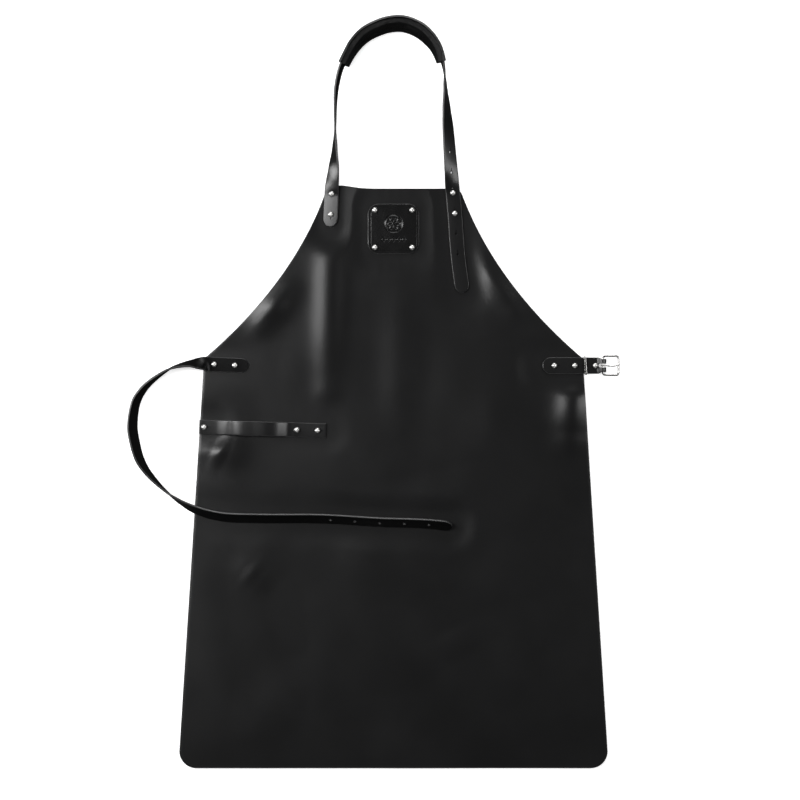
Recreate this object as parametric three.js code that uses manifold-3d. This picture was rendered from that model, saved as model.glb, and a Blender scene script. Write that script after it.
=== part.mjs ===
// A leather apron laid flat on its back, in millimetres.
// +Z points out of the grain side, +Y to the neck and +X to the buckle side.
// The origin is on the back of the panel, halfway up its centre line.
import * as THREE from "three";
import { mergeVertices } from "three/addons/utils/BufferGeometryUtils.js";
import Module from "manifold-3d";

const wasm = await Module();
wasm.setup();

// Panel
const panelLength = 846;
const hemWidth = 625;
const waistWidth = 553;
const waistAboveHem = 597;
const bibWidth = 204;
const panelThickness = 3;
const hemCornerRadius = 24;
const bibCornerRadius = 13;
const waistCornerRadius = 5;
const armholeBowAcross = 0.28;
const armholeBowDown = 0.56;

// Straps
const strapWidth = 21;
const strapThickness = 3;
const strapTipLength = 12;
const strapSteps = 78;
const towelStrapSteps = 30;
const towelStrapLength = 185.5;
const towelStrapTilt = -1.7;
const towelStrapBelowWaist = 99;
const towelLoopRise = 9;

// Neck pad, measured across the strap and away from it
const padLength = 197;
const padStart = 337;
const padWidth = 36;
const padHemWidth = 3.5;
const padCoverThickness = 1.6;
const padLiningThickness = 1.2;
const padFoamThickness = 4;
const padStrapRoom = 1.5;

// Patch
const patchWidth = 75;
const patchLength = 73;
const patchCornerRadius = 16;
const patchThickness = 3;
const patchBelowBib = 59;
const patchStudSpacing = 54.4;

// Ball studs and the screws behind them
const ballRadius = 4;
const ballHalfHeight = 3.2;
const neckRadius = 2.2;
const flangeRadius = 3.6;
const flangeThickness = 0.9;
const screwHeadRadius = 4;
const screwHeadThickness = 0.8;
const screwShankRadius = 1.1;
const screwLength = 4.4;
const screwSlotWidth = 0.9;
const screwSlotDepth = 0.4;
const studPitch = 30;
const neckStudFromEnd = 18;
const waistStudFromEnd = 20;
const towelStudFromEdge = 7;
const towelStudFromEnd = 10;
const studHoleSlit = 5;
const slitWidth = 0.6;
const roundSides = 10;

// Adjusting holes
const neckHoleCount = 6;
const neckFirstHole = 56;
const neckStuddedHoles = [2, 3];
const waistHoleCount = 5;
const waistHolePitch = 36;
const waistFirstHole = 34;
const waistHoleRadius = 2;

// Buckle, keeper and the tab that carries them
const tabWidth = 24;
const tabInsideEdge = 59;
const tabFirstStud = 17;
const tabBelowWaist = 9.5;
const buckleBarOut = 29;
const buckleWireRadius = 1.4;
const buckleReach = 23.3;
const buckleInnerWidth = 25.2;
const buckleCornerRadius = 4.2;
const prongWireRadius = 0.9;
const prongSlotWidth = 5.2;
const prongSlotReach = 6.4;
const keeperOut = 2;
const keeperWidth = 3;
const keeperThickness = 1.2;
const keeperSlant = 4;
const keeperHeadroom = 4.5;
const keeperTravel = 4;
const keeperBackMargin = 1.6;
const tabRiseLength = 9;
const tabShoulderStart = 7;
const tabShoulderEnd = 2;

// Clearances
const leatherGap = 0.2;
const metalGap = 0.3;
const padGap = 0.5;
const studHoleGap = 0.3;
const pocketGap = 0.1;

// ---------------------------------------------------------------- levels

const hem = -panelLength / 2;
const bib = panelLength / 2;
const waist = hem + waistAboveHem;
const strapBase = panelThickness + leatherGap;
const strapTop = strapBase + strapThickness;
const slope = (hemWidth - waistWidth) / 2 / waistAboveHem;
const degrees = Math.PI / 180;

// Half the panel's width at a height between hem and waist
const sideAt = (y) => waistWidth / 2 + (waist - y) * slope;

// ---------------------------------------------------------------- solids

function toSolid(geometry) {
  const shell = geometry.clone();
  shell.deleteAttribute("normal");
  shell.deleteAttribute("uv");
  const merged = mergeVertices(shell, 1e-5);
  const corners = merged.index.array;
  const triangles = [];
  for (let i = 0; i < corners.length; i += 3) {
    const [a, b, c] = corners.slice(i, i + 3);
    if (a !== b && b !== c && c !== a) triangles.push(a, b, c);
  }
  const vertProperties = new Float32Array(merged.attributes.position.array);
  const triVerts = new Uint32Array(triangles);
  return new wasm.Manifold(new wasm.Mesh({ numProp: 3, vertProperties, triVerts }));
}

function toGeometry(solid) {
  const mesh = solid.getMesh();
  const geometry = new THREE.BufferGeometry();
  geometry.setAttribute("position", new THREE.BufferAttribute(mesh.vertProperties, 3));
  geometry.setIndex(new THREE.BufferAttribute(mesh.triVerts, 1));
  geometry.computeVertexNormals();
  return geometry;
}

// A piece with a list of cutters taken out of it
function cut(geometry, cutters) {
  let solid = toSolid(geometry);
  for (const cutter of cutters) solid = solid.subtract(toSolid(cutter));
  return toGeometry(solid);
}

function prism(shape, depth, curveSegments = 12) {
  return new THREE.ExtrudeGeometry(shape, { depth, bevelEnabled: false, curveSegments });
}

function roundedRectangle(width, height, radius) {
  const w = width / 2 - radius;
  const h = height / 2 - radius;
  const shape = new THREE.Shape();
  shape.absarc(w, h, radius, 0, Math.PI / 2);
  shape.absarc(-w, h, radius, Math.PI / 2, Math.PI);
  shape.absarc(-w, -h, radius, Math.PI, Math.PI * 1.5);
  shape.absarc(w, -h, radius, Math.PI * 1.5, Math.PI * 2);
  shape.closePath();
  return shape;
}

// A turned solid about Z from its profile of [radius, height] pairs
function turned(profile, sides = roundSides) {
  const points = profile.map(([radius, height]) => new THREE.Vector2(radius, height));
  return new THREE.LatheGeometry(points, sides).rotateX(Math.PI / 2);
}

// ---------------------------------------------------------------- places

// A place on flat leather: x across the heading, y out of the leather, z along the heading
function flatPlace(x, y, z, heading) {
  const ahead = new THREE.Vector3(Math.cos(heading), Math.sin(heading), 0);
  const up = new THREE.Vector3(0, 0, 1);
  const across = up.clone().cross(ahead);
  return new THREE.Matrix4().makeBasis(across, up, ahead).setPosition(x, y, z);
}

// A strap's route from stations of [x, y, lift, roll]. The lift is the height of the strap's
// lowest edge. The roll turns the strap about its length, away from the inside of its bend.
function strapRoute(stations) {
  const centre = ([x, y, lift, roll]) => {
    const upright = Math.abs(Math.sin(roll * degrees)) * strapWidth / 2;
    const flat = Math.abs(Math.cos(roll * degrees)) * strapThickness / 2;
    return new THREE.Vector3(x, y, lift + upright + flat);
  };
  const line = new THREE.CatmullRomCurve3(stations.map(centre), false, "centripetal");
  line.arcLengthDivisions = 2000;
  const turns = stations.map(([, , , roll]) => new THREE.Vector3(roll, 0, 0));
  const rolls = new THREE.CatmullRomCurve3(turns, false, "catmullrom", 0.3);
  const length = line.getLength();
  const place = (distance) => {
    const t = line.getUtoTmapping(THREE.MathUtils.clamp(distance / length, 0, 1));
    const ahead = line.getTangent(t);
    const roll = rolls.getPoint(t).x * degrees;
    const inner = new THREE.Vector3(0, 0, 1).cross(ahead).normalize();
    const up = ahead.clone().cross(inner);
    const across = inner.clone().multiplyScalar(Math.cos(roll)).addScaledVector(up, Math.sin(roll));
    const face = up.multiplyScalar(Math.cos(roll)).addScaledVector(inner, -Math.sin(roll));
    return new THREE.Matrix4().makeBasis(across, face, ahead).setPosition(line.getPoint(t));
  };
  return { length, place };
}

// A section swept along a route between two distances
function sweep(section, route, from, to, steps) {
  const body = new THREE.ExtrudeGeometry(section, { depth: 1, steps, bevelEnabled: false });
  const corners = body.attributes.position;
  const corner = new THREE.Vector3();
  for (let i = 0; i < corners.count; i++) {
    corner.fromBufferAttribute(corners, i);
    const distance = from + (to - from) * corner.z;
    corner.setZ(0).applyMatrix4(route.place(distance));
    corners.setXYZ(i, corner.x, corner.y, corner.z);
  }
  return body;
}

// ---------------------------------------------------------------- cutters

// A round hole through leather, with a slit beside it where a ball stud is pushed through
function holeCutters(place, radius, slit = 0) {
  const depth = strapThickness * 3;
  const cutters = [new THREE.CylinderGeometry(radius, radius, depth, roundSides)];
  if (slit > 0) {
    const reach = radius + slit;
    cutters.push(new THREE.BoxGeometry(slitWidth, depth, reach).translate(0, 0, reach / 2));
  }
  return cutters.map((cutter) => cutter.applyMatrix4(place));
}

// What is trimmed off a square end to leave it rounded; z runs into the leather from the end
function endTrim(place, width) {
  const depth = strapThickness * 3;
  const margin = 2;
  const block = new THREE.BoxGeometry(width + margin, depth, strapTipLength + margin);
  block.translate(0, 0, (strapTipLength - margin) / 2);
  const nose = new THREE.CylinderGeometry(width / 2, width / 2, depth + margin, 32);
  nose.scale(1, 1, strapTipLength / (width / 2)).translate(0, 0, strapTipLength);
  return toGeometry(toSolid(block).subtract(toSolid(nose))).applyMatrix4(place);
}

// The stepped hole behind a stud: screw head pocket, barrel hole and flange pocket
function studPocket(x, y) {
  const headPocket = screwHeadRadius + pocketGap;
  const flangePocket = flangeRadius + studHoleGap;
  const barrelHole = neckRadius + pocketGap;
  const web = screwHeadThickness + 2 * pocketGap;
  const seat = panelThickness - flangeThickness - 2 * pocketGap;
  const profile = [
    [0, -1], [headPocket, -1], [headPocket, web], [barrelHole, web],
    [barrelHole, seat], [flangePocket, seat], [flangePocket, panelThickness + 1],
    [0, panelThickness + 1],
  ];
  return turned(profile).translate(x, y, 0);
}

// ---------------------------------------------------------------- routes

// Up the buckle side from the tail, round the neck and down to the other side of the bib
const neckStations = [
  [101, -152, strapBase, 0],
  [94, -98, strapBase, 0],
  [89.6, -39, strapBase, 0],
  [87, -9, strapBase, 0],
  [86, 0, strapBase + 0.3, 3],
  [84, 26, 4, 27],
  [81.8, 56, 3.6, 36],
  [79.6, 86, 4, 44],
  [77.4, 115, 5, 60],
  [75.6, 144, 6, 79],
  [72.8, 178, 8.2, 95],
  [64, 204, 8, 106],
  [51.4, 220, 7.6, 114],
  [36.5, 231.5, 7.3, 119],
  [14.7, 239.5, 7.2, 121],
  [-1.3, 239.5, 7.2, 121],
  [-16.8, 236, 7.2, 120],
  [-40.2, 225, 7.4, 118],
  [-55.5, 211, 7.7, 113],
  [-67.2, 193.5, 8, 107],
  [-76.5, 174, 8.2, 104],
  [-83.2, 144, 5, 101],
  [-84.7, 115, 3, 94],
  [-84.9, 86, 1.5, 89],
  [-85.6, 56, 0.9, 82],
  [-87.4, 26, 1.6, 63],
  [-90, 0, strapBase + 0.3, 3],
  [-90.4, -9, strapBase, 0],
  [-91.4, -38, strapBase, 0],
  [-92.6, -56, strapBase, 0],
].map(([x, aboveBib, lift, roll]) => [x, bib + aboveBib, lift, roll]);

// Out from the waist corner, round a loose loop on its edge and back across the panel
const onFloor = 0.4;
const onPanel = strapBase + 0.1;
const waistStations = [
  [65.6, -9.5, strapBase, 0],
  [45.5, -9, strapBase, 0],
  [14.5, -7.5, strapBase, 0],
  [7.4, -7, strapBase, 3],
  [-4.6, -6.5, strapBase, 36],
  [-21.6, -7, 1.4, 68],
  [-44.2, -12.5, onFloor, 84],
  [-54.9, -18, onFloor, 94],
  [-75.9, -34, onFloor, 105],
  [-87.2, -47, onFloor, 113],
  [-95.2, -63, onFloor, 121],
  [-98.2, -97, onFloor, 127],
  [-93.8, -120, onFloor, 127],
  [-85.3, -145, onFloor, 122],
  [-72.1, -165, onFloor, 110],
  [-43.4, -193, onFloor, 92],
  [-23.5, -207, 1.8, 76],
  [2.3, -220, onPanel, 60],
  [38.8, -229.5, onPanel, 54],
  [97, -232, onPanel, 53],
  [185, -232.5, onPanel, 53],
  [272.3, -237.5, onPanel, 53],
  [331.4, -239.5, onPanel, 52],
  [360.6, -242, onPanel, 50],
  [376.7, -244, onPanel, 49],
].map(([inFromSide, aboveWaist, lift, roll]) => [
  inFromSide - sideAt(waist + aboveWaist), waist + aboveWaist, lift, roll,
]);

// Over the panel in from its edge, bowed up in the middle so that a cloth hangs through
const towelY = waist - towelStrapBelowWaist;
const towelStations = [
  [0, 0], [15, 0], [27, 0.08], [46, 0.6], [64, 0.95], [78, 1], [92, 0.95], [110, 0.6],
  [129, 0.08], [141, 0], [towelStrapLength, 0],
].map(([distance, rise]) => [
  distance * Math.cos(towelStrapTilt * degrees) - sideAt(towelY) - 1,
  towelY + distance * Math.sin(towelStrapTilt * degrees),
  strapBase + rise * towelLoopRise,
  0,
]);

const neckRoute = strapRoute(neckStations);
const neckStep = neckRoute.length / strapSteps;
const padFrom = Math.round(padStart / neckStep) * neckStep;
const padSteps = Math.round(padLength / neckStep);
const padTo = padFrom + padSteps * neckStep;
const waistRoute = strapRoute(waistStations);
const towelRoute = strapRoute(towelStations);

// ---------------------------------------------------------------- stud sites

const tabY = waist - tabBelowWaist;
const tabEnd = waistWidth / 2 - tabInsideEdge;
const patchY = bib - patchBelowBib;

// A site is where a stud stands, with the direction in which its hole is slit
function routeSite(name, route, distance) {
  return { name, place: route.place(distance) };
}

function flatSite(name, x, y, heading) {
  return { name, place: flatPlace(x, y, (strapBase + strapTop) / 2, heading) };
}

const neckHoles = Array.from({ length: neckHoleCount }, (_, i) => neckFirstHole + i * studPitch);
const neckSites = [
  ...neckStuddedHoles.map((hole, i) =>
    routeSite(`neck_buckle_side_stud_${i + 1}`, neckRoute, neckHoles[hole])),
  routeSite("neck_far_side_stud_1", neckRoute, neckRoute.length - neckStudFromEnd - studPitch),
  routeSite("neck_far_side_stud_2", neckRoute, neckRoute.length - neckStudFromEnd),
];
const waistSites = [
  routeSite("waist_stud_1", waistRoute, waistStudFromEnd),
  routeSite("waist_stud_2", waistRoute, waistStudFromEnd + studPitch),
];
const towelSites = [
  routeSite("towel_stud_1", towelRoute, towelStudFromEdge),
  routeSite("towel_stud_2", towelRoute, towelStrapLength - towelStudFromEnd - studPitch),
  routeSite("towel_stud_3", towelRoute, towelStrapLength - towelStudFromEnd),
];
const tabSites = [0, 1, 2].map((i) =>
  flatSite(`buckle_stud_${i + 1}`, tabEnd + tabFirstStud + i * studPitch, tabY, 0));
const patchSites = [[-1, 1], [1, 1], [-1, -1], [1, -1]].map(([right, up], i) =>
  flatSite(
    `patch_stud_${i + 1}`,
    right * patchStudSpacing / 2,
    patchY + up * patchStudSpacing / 2,
    Math.atan2(-up, -right),
  ));
const sites = [...neckSites, ...waistSites, ...towelSites, ...tabSites, ...patchSites];
const outerTabSite = tabSites[2];
const studHole = neckRadius + studHoleGap;

const spot = (site) => new THREE.Vector3().setFromMatrixPosition(site.place);
const slitHoles = (list) => list.flatMap((site) => holeCutters(site.place, studHole, studHoleSlit));

// ---------------------------------------------------------------- pieces

function apronPanel() {
  const half = new THREE.Path();
  const armDrop = bib - waist;
  const armReach = (waistWidth - bibWidth) / 2;
  half.moveTo(0, hem);
  const hemCorner = hemWidth / 2 - hemCornerRadius;
  half.absarc(hemCorner, hem + hemCornerRadius, hemCornerRadius, -Math.PI / 2, 0);
  half.lineTo(sideAt(waist - waistCornerRadius), waist - waistCornerRadius);
  half.quadraticCurveTo(
    waistWidth / 2, waist + waistCornerRadius * 0.3,
    waistWidth / 2 - waistCornerRadius, waist + waistCornerRadius,
  );
  half.quadraticCurveTo(
    bibWidth / 2 + armReach * armholeBowAcross, bib - armDrop * armholeBowDown,
    bibWidth / 2, bib - bibCornerRadius,
  );
  half.quadraticCurveTo(bibWidth / 2 - 4, bib, bibWidth / 2 - bibCornerRadius, bib);
  half.lineTo(0, bib);
  const right = half.getPoints(14);
  const left = right.slice(1, -1).reverse().map((point) => new THREE.Vector2(-point.x, point.y));
  const sheet = prism(new THREE.Shape([...right, ...left]), panelThickness);
  const pockets = sites.filter((site) => site !== outerTabSite);
  return cut(sheet, pockets.map((site) => studPocket(spot(site).x, spot(site).y)));
}

// A strap's section, with points along its middle so that its faces twist evenly
function strapSection(width, height, y = 0) {
  const w = width / 2;
  const h = height / 2;
  const points = [[-w, y - h], [0, y - h], [w, y - h], [w, y + h], [0, y + h], [-w, y + h]];
  return new THREE.Shape(points.map((point) => new THREE.Vector2(...point)));
}

function reversed(place) {
  return place.clone().multiply(new THREE.Matrix4().makeRotationY(Math.PI));
}

function neckStrap() {
  const { length, place } = neckRoute;
  const strap = sweep(strapSection(strapWidth, strapThickness), neckRoute, 0, length, strapSteps);
  const openHoles = neckHoles.filter((_, i) => !neckStuddedHoles.includes(i));
  return cut(strap, [
    endTrim(place(0), strapWidth),
    endTrim(reversed(place(length)), strapWidth),
    ...openHoles.flatMap((distance) => holeCutters(place(distance), studHole, studHoleSlit)),
    ...slitHoles(neckSites),
  ]);
}

function waistStrap() {
  const { length, place } = waistRoute;
  const strap = sweep(strapSection(strapWidth, strapThickness), waistRoute, 0, length, strapSteps);
  const lastHole = length - waistFirstHole;
  const holes = Array.from({ length: waistHoleCount }, (_, i) => lastHole - i * waistHolePitch);
  return cut(strap, [
    endTrim(place(0), strapWidth),
    endTrim(reversed(place(length)), strapWidth),
    ...holes.flatMap((distance) => holeCutters(place(distance), waistHoleRadius)),
    ...slitHoles(waistSites),
  ]);
}

function towelStrap() {
  const { length } = towelRoute;
  const strap = sweep(strapSection(strapWidth, strapThickness), towelRoute, 0, length, towelStrapSteps);
  return cut(strap, slitHoles(towelSites));
}

// Half of the pad's sleeve: a bowed layer with flat hems that meet the other half's hems.
// The bow stands off the strap's middle by rise, on the side that the sign gives.
function padLayer(rise, thickness, side) {
  const edge = padWidth / 2;
  const foot = edge - padHemWidth;
  const crown = strapWidth / 2 + padStrapRoom;
  const lip = leatherGap / 2 + 0.05;
  const inside = [
    [-edge, lip], [-foot, lip], [-crown, rise], [0, rise], [crown, rise], [foot, lip], [edge, lip],
  ];
  const outside = [
    [edge, lip + thickness], [foot + 0.5, lip + thickness], [crown + 0.6, rise + thickness],
    [0, rise + thickness], [-crown - 0.6, rise + thickness], [-foot - 0.5, lip + thickness],
    [-edge, lip + thickness],
  ];
  const points = [...inside, ...outside].map(([x, y]) => new THREE.Vector2(x, y * side));
  const section = new THREE.Shape(points);
  return sweep(section, neckRoute, padFrom, padTo, padSteps);
}

const padCoverRise = strapThickness / 2 + padGap;
const padLiningRise = strapThickness / 2 + 2 * padGap + padFoamThickness;

function padFoam() {
  const middle = -(strapThickness / 2 + padGap + padFoamThickness / 2);
  const section = strapSection(strapWidth + 1, padFoamThickness, middle);
  return sweep(section, neckRoute, padFrom + neckStep, padTo - neckStep, padSteps - 2);
}

function frontPatch() {
  const sheet = prism(roundedRectangle(patchWidth, patchLength, patchCornerRadius), patchThickness, 6);
  return cut(sheet.translate(0, patchY, strapBase), slitHoles(patchSites));
}

// Buckle bar: the tab folds round it, level with the panel below and the straps above
const barX = waistWidth / 2 + buckleBarOut;
const foldRadius = buckleWireRadius + metalGap + strapThickness / 2;
const backLayer = pocketGap + strapThickness / 2;
const barZ = backLayer + foldRadius;
const buckleTilt = Math.asin((barZ - buckleWireRadius - metalGap) / buckleReach);
const keeperX = sideAt(tabY - tabWidth / 2) + keeperOut;
const backLayerEnd = keeperX + keeperTravel + keeperWidth / 2 + keeperBackMargin;

// A ribbon of leather seen from its edge, about a centre line of [x, z] points
function ribbon(line, thickness) {
  const upper = [];
  const lower = [];
  line.forEach(([x, z], i) => {
    const [beforeX, beforeZ] = line[Math.max(i - 1, 0)];
    const [afterX, afterZ] = line[Math.min(i + 1, line.length - 1)];
    const span = Math.hypot(afterX - beforeX, afterZ - beforeZ);
    const acrossX = -(afterZ - beforeZ) / span * thickness / 2;
    const acrossZ = (afterX - beforeX) / span * thickness / 2;
    upper.push(new THREE.Vector2(x + acrossX, z + acrossZ));
    lower.push(new THREE.Vector2(x - acrossX, z - acrossZ));
  });
  return new THREE.Shape([...lower, ...upper.reverse()]);
}

function buckleTab() {
  const frontLayer = strapBase + strapThickness / 2;
  const line = [[tabEnd, frontLayer]];
  for (let i = 0; i <= 6; i++) {
    const share = i / 6;
    const ease = share * share * (3 - 2 * share);
    const rise = (barZ + foldRadius - frontLayer) * ease;
    line.push([barX - tabRiseLength * (1 - share), frontLayer + rise]);
  }
  for (let i = 1; i <= 10; i++) {
    const angle = Math.PI / 2 - Math.PI * i / 10;
    line.push([barX + foldRadius * Math.cos(angle), barZ + foldRadius * Math.sin(angle)]);
  }
  line.push([backLayerEnd, backLayer]);
  const fold = prism(ribbon(line, strapThickness), tabWidth);
  fold.rotateX(Math.PI / 2).translate(0, tabY + tabWidth / 2, 0);
  const slotLength = prongSlotReach + foldRadius + strapThickness;
  const slot = new THREE.BoxGeometry(slotLength, prongSlotWidth, 4 * foldRadius + 2 * strapThickness);
  slot.translate(barX - prongSlotReach + slotLength / 2, tabY, barZ);
  const outer = spot(outerTabSite);
  const barHalf = buckleInnerWidth / 2 - buckleCornerRadius + buckleWireRadius;
  const pastFold = foldRadius + 2 * strapThickness;
  const shoulders = [-1, 1].map((side) => {
    const corners = [
      [barX - tabShoulderStart, tabWidth / 2], [barX - tabShoulderEnd, barHalf],
      [barX + pastFold, barHalf], [barX + pastFold, tabWidth],
      [barX - tabShoulderStart, tabWidth],
    ].map(([x, y]) => new THREE.Vector2(x, y * side + tabY));
    return prism(new THREE.Shape(corners), 6 * foldRadius).translate(0, 0, -foldRadius);
  });
  return cut(fold, [
    ...shoulders,
    endTrim(flatPlace(tabEnd, tabY, strapTop - strapThickness / 2, 0), tabWidth),
    ...slitHoles(tabSites),
    studPocket(outer.x, outer.y),
    slot,
  ]);
}

// A closed loop of wire in the XY plane, made by bending a ring onto the outline
function wireLoop(outline, radius) {
  const ring = new THREE.TorusGeometry(1, radius, 8, 44);
  const corners = ring.attributes.position;
  const around = ring.attributes.uv;
  for (let i = 0; i < corners.count; i++) {
    const share = around.getX(i) % 1;
    const centre = outline.getPointAt(share);
    const ahead = outline.getTangentAt(share);
    const turn = around.getY(i) * 2 * Math.PI;
    const out = radius * Math.cos(turn);
    corners.setXYZ(i, centre.x + ahead.y * out, centre.y - ahead.x * out, radius * Math.sin(turn));
  }
  return ring;
}

function buckleFrame() {
  const width = buckleInnerWidth + 2 * buckleWireRadius;
  const outline = roundedRectangle(buckleReach, width, buckleCornerRadius);
  return wireLoop(outline, buckleWireRadius).translate(buckleReach / 2, 0, 0);
}

// Wire wrapped round the bar, then out through the slot to lie on the far side of the frame
function buckleProng() {
  const wrap = buckleWireRadius + metalGap + prongWireRadius;
  const rest = buckleWireRadius + metalGap + prongWireRadius;
  const line = [];
  for (let i = 0; i <= 10; i++) {
    const angle = (-60 - 21 * i) * degrees;
    line.push(new THREE.Vector3(wrap * Math.cos(angle), 0, wrap * Math.sin(angle)));
  }
  line.push(new THREE.Vector3(buckleReach * 0.2, 0, wrap));
  line.push(new THREE.Vector3(buckleReach * 0.45, -0.9, wrap + 0.2));
  line.push(new THREE.Vector3(buckleReach * 0.75, -0.5, rest + 0.4));
  line.push(new THREE.Vector3(buckleReach + 1, 1.6, rest));
  const extrudePath = new THREE.CatmullRomCurve3(line);
  const section = new THREE.Shape().absarc(0, 0, prongWireRadius, 0, 2 * Math.PI);
  return new THREE.ExtrudeGeometry(section, { extrudePath, steps: 28, curveSegments: 4 });
}

function strapKeeper() {
  const inside = tabWidth + 2 * (metalGap + 0.05);
  const low = strapBase - metalGap;
  const high = strapTop + keeperHeadroom;
  const ring = roundedRectangle(inside + 2 * keeperThickness, high - low + 2 * keeperThickness, 2);
  ring.holes.push(roundedRectangle(inside, high - low, 0.8));
  const band = prism(ring, keeperWidth, 3).translate(0, (low + high) / 2, -keeperWidth / 2);
  return band.applyMatrix4(flatPlace(0, 0, 0, 0)).rotateZ(keeperSlant * degrees);
}

function ballStud() {
  const seat = panelThickness - flangeThickness - pocketGap;
  const barrelBase = screwHeadThickness + pocketGap * 1.5;
  const boreRadius = screwShankRadius + 0.2;
  const boreTop = pocketGap + screwLength + 0.3;
  const start = -Math.acos(neckRadius / ballRadius);
  const ballZ = strapTop + leatherGap - ballHalfHeight * Math.sin(start);
  const profile = [
    [0, boreTop], [boreRadius, boreTop], [boreRadius, barrelBase], [neckRadius, barrelBase],
    [neckRadius, seat], [flangeRadius, seat], [flangeRadius, seat + flangeThickness],
    [neckRadius, seat + flangeThickness],
  ];
  for (let i = 0; i <= 6; i++) {
    const angle = start + (Math.PI / 2 - start) * i / 6;
    profile.push([Math.max(ballRadius * Math.cos(angle), 0), ballZ + ballHalfHeight * Math.sin(angle)]);
  }
  profile[profile.length - 1][0] = 0;
  return turned(profile);
}

function studScrew() {
  const base = pocketGap;
  const profile = [
    [0, base], [screwHeadRadius, base], [screwHeadRadius, base + screwHeadThickness - 0.1],
    [screwShankRadius, base + screwHeadThickness - 0.1], [screwShankRadius, base + screwLength],
    [0, base + screwLength],
  ];
  const slot = new THREE.BoxGeometry(3 * screwHeadRadius, screwSlotWidth, 2 * screwSlotDepth);
  return cut(turned(profile), [slot.translate(0, 0, base)]);
}

// ---------------------------------------------------------------- assembly

const leather = { color: 0x151414, roughness: 0.42, metalness: 0 };
const lining = { color: 0x0d0c0c, roughness: 0.7, metalness: 0 };
const foam = { color: 0x2b2b2b, roughness: 0.9, metalness: 0 };
const nickel = { color: 0xb9bbbd, roughness: 0.25, metalness: 1 };

const apron = new THREE.Group();

function add(name, geometry, finish, parent = apron) {
  const mesh = new THREE.Mesh(geometry, new THREE.MeshStandardMaterial(finish));
  mesh.name = name;
  parent.add(mesh);
  return mesh;
}

add("apron_panel", apronPanel(), leather);
add("front_patch", frontPatch(), leather);
add("neck_strap", neckStrap(), leather);
add("neck_pad_cover", padLayer(padCoverRise, padCoverThickness, 1), leather);
add("neck_pad_foam", padFoam(), foam);
add("neck_pad_lining", padLayer(padLiningRise, padLiningThickness, -1), lining);
add("waist_strap", waistStrap(), leather);
add("towel_strap", towelStrap(), leather);
add("buckle_tab", buckleTab(), leather);

const keeper = add("strap_keeper", strapKeeper(), nickel);
keeper.position.set(keeperX, tabY, 0);

const buckle = new THREE.Group();
buckle.position.set(barX, tabY, barZ);
buckle.rotation.y = buckleTilt;
apron.add(buckle);
add("buckle_frame", buckleFrame(), nickel, buckle);
add("buckle_prong", buckleProng(), nickel, buckle);

const studShape = ballStud();
const screwShape = studScrew();
for (const site of sites) {
  const { x, y } = spot(site);
  add(site.name, studShape, nickel).position.set(x, y, 0);
  add(`${site.name}_screw`, screwShape, nickel).position.set(x, y, 0);
}

export default apron;
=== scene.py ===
"""Builds the looks of a leather apron laid flat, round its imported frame."""
import math

import bmesh
import bpy
import numpy as np
from mathutils import Matrix, Vector, noise


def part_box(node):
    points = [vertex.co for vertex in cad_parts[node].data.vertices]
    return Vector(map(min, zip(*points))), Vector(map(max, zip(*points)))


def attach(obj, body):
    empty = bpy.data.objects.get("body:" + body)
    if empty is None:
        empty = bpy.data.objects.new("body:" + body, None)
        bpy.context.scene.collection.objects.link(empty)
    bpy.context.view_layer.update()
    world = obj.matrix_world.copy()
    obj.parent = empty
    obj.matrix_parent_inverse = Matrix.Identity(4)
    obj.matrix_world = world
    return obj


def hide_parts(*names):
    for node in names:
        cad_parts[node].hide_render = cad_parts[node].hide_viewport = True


bl_info = {
    "name": "Leather Apron",
    "version": (1, 0, 0),
    "blender": (4, 5, 0),
    "location": "View3D > Sidebar > Apron",
    "description": "Makes a leather apron laid flat, with its straps, studs, buckle and stage",
    "category": "Add Mesh",
}

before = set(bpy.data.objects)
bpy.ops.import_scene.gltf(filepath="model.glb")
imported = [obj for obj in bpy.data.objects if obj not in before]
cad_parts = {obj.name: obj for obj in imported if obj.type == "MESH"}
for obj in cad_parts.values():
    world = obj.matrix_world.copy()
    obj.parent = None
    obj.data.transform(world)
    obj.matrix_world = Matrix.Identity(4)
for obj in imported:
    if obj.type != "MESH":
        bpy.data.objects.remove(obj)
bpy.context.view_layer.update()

# ------------------------------------------------------------------ sizes, in metres

PANEL_LOW, PANEL_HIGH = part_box("apron_panel")
PANEL_THICKNESS = PANEL_HIGH.z - PANEL_LOW.z
HEM, BIB = PANEL_LOW.y, PANEL_HIGH.y
HEM_WIDTH = PANEL_HIGH.x - PANEL_LOW.x
WAIST_WIDTH = 0.553
WAIST = HEM + 0.597
BIB_WIDTH = 0.204
HEM_CORNER, BIB_CORNER, WAIST_CORNER = 0.024, 0.013, 0.005
ARMHOLE_BOW_ACROSS, ARMHOLE_BOW_DOWN = 0.28, 0.56
SIDE_SLOPE = (HEM_WIDTH - WAIST_WIDTH) / 2 / (WAIST - HEM)

STRAP_WIDTH, STRAP_THICKNESS = 0.021, 0.003
LEATHER_GAP = 0.0002
STRAP_BASE = PANEL_THICKNESS + LEATHER_GAP
STRAP_TOP = STRAP_BASE + STRAP_THICKNESS
ON_FLOOR, ON_PANEL = 0.0004, STRAP_BASE + 0.0001
TIP_LENGTH = 0.012
STRAP_CROWN = 0.00022
HOLE_SOFTENING = 0.00035
STUD_RADIUS, STUD_PITCH = 0.004, 0.030
STUD_HOLE, STUD_SLIT, SLIT_WIDTH = 0.0025, 0.005, 0.0006
SPARE_HOLE = 0.0014
NECK_HOLES = [0.056 + i * STUD_PITCH for i in range(6)]
NECK_STUDDED = (2, 3)
NECK_STUD_FROM_END, WAIST_STUD_FROM_END = 0.018, 0.020
WAIST_HOLES = [0.034 + i * 0.036 for i in range(5)]
WAIST_HOLE = 0.002

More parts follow.
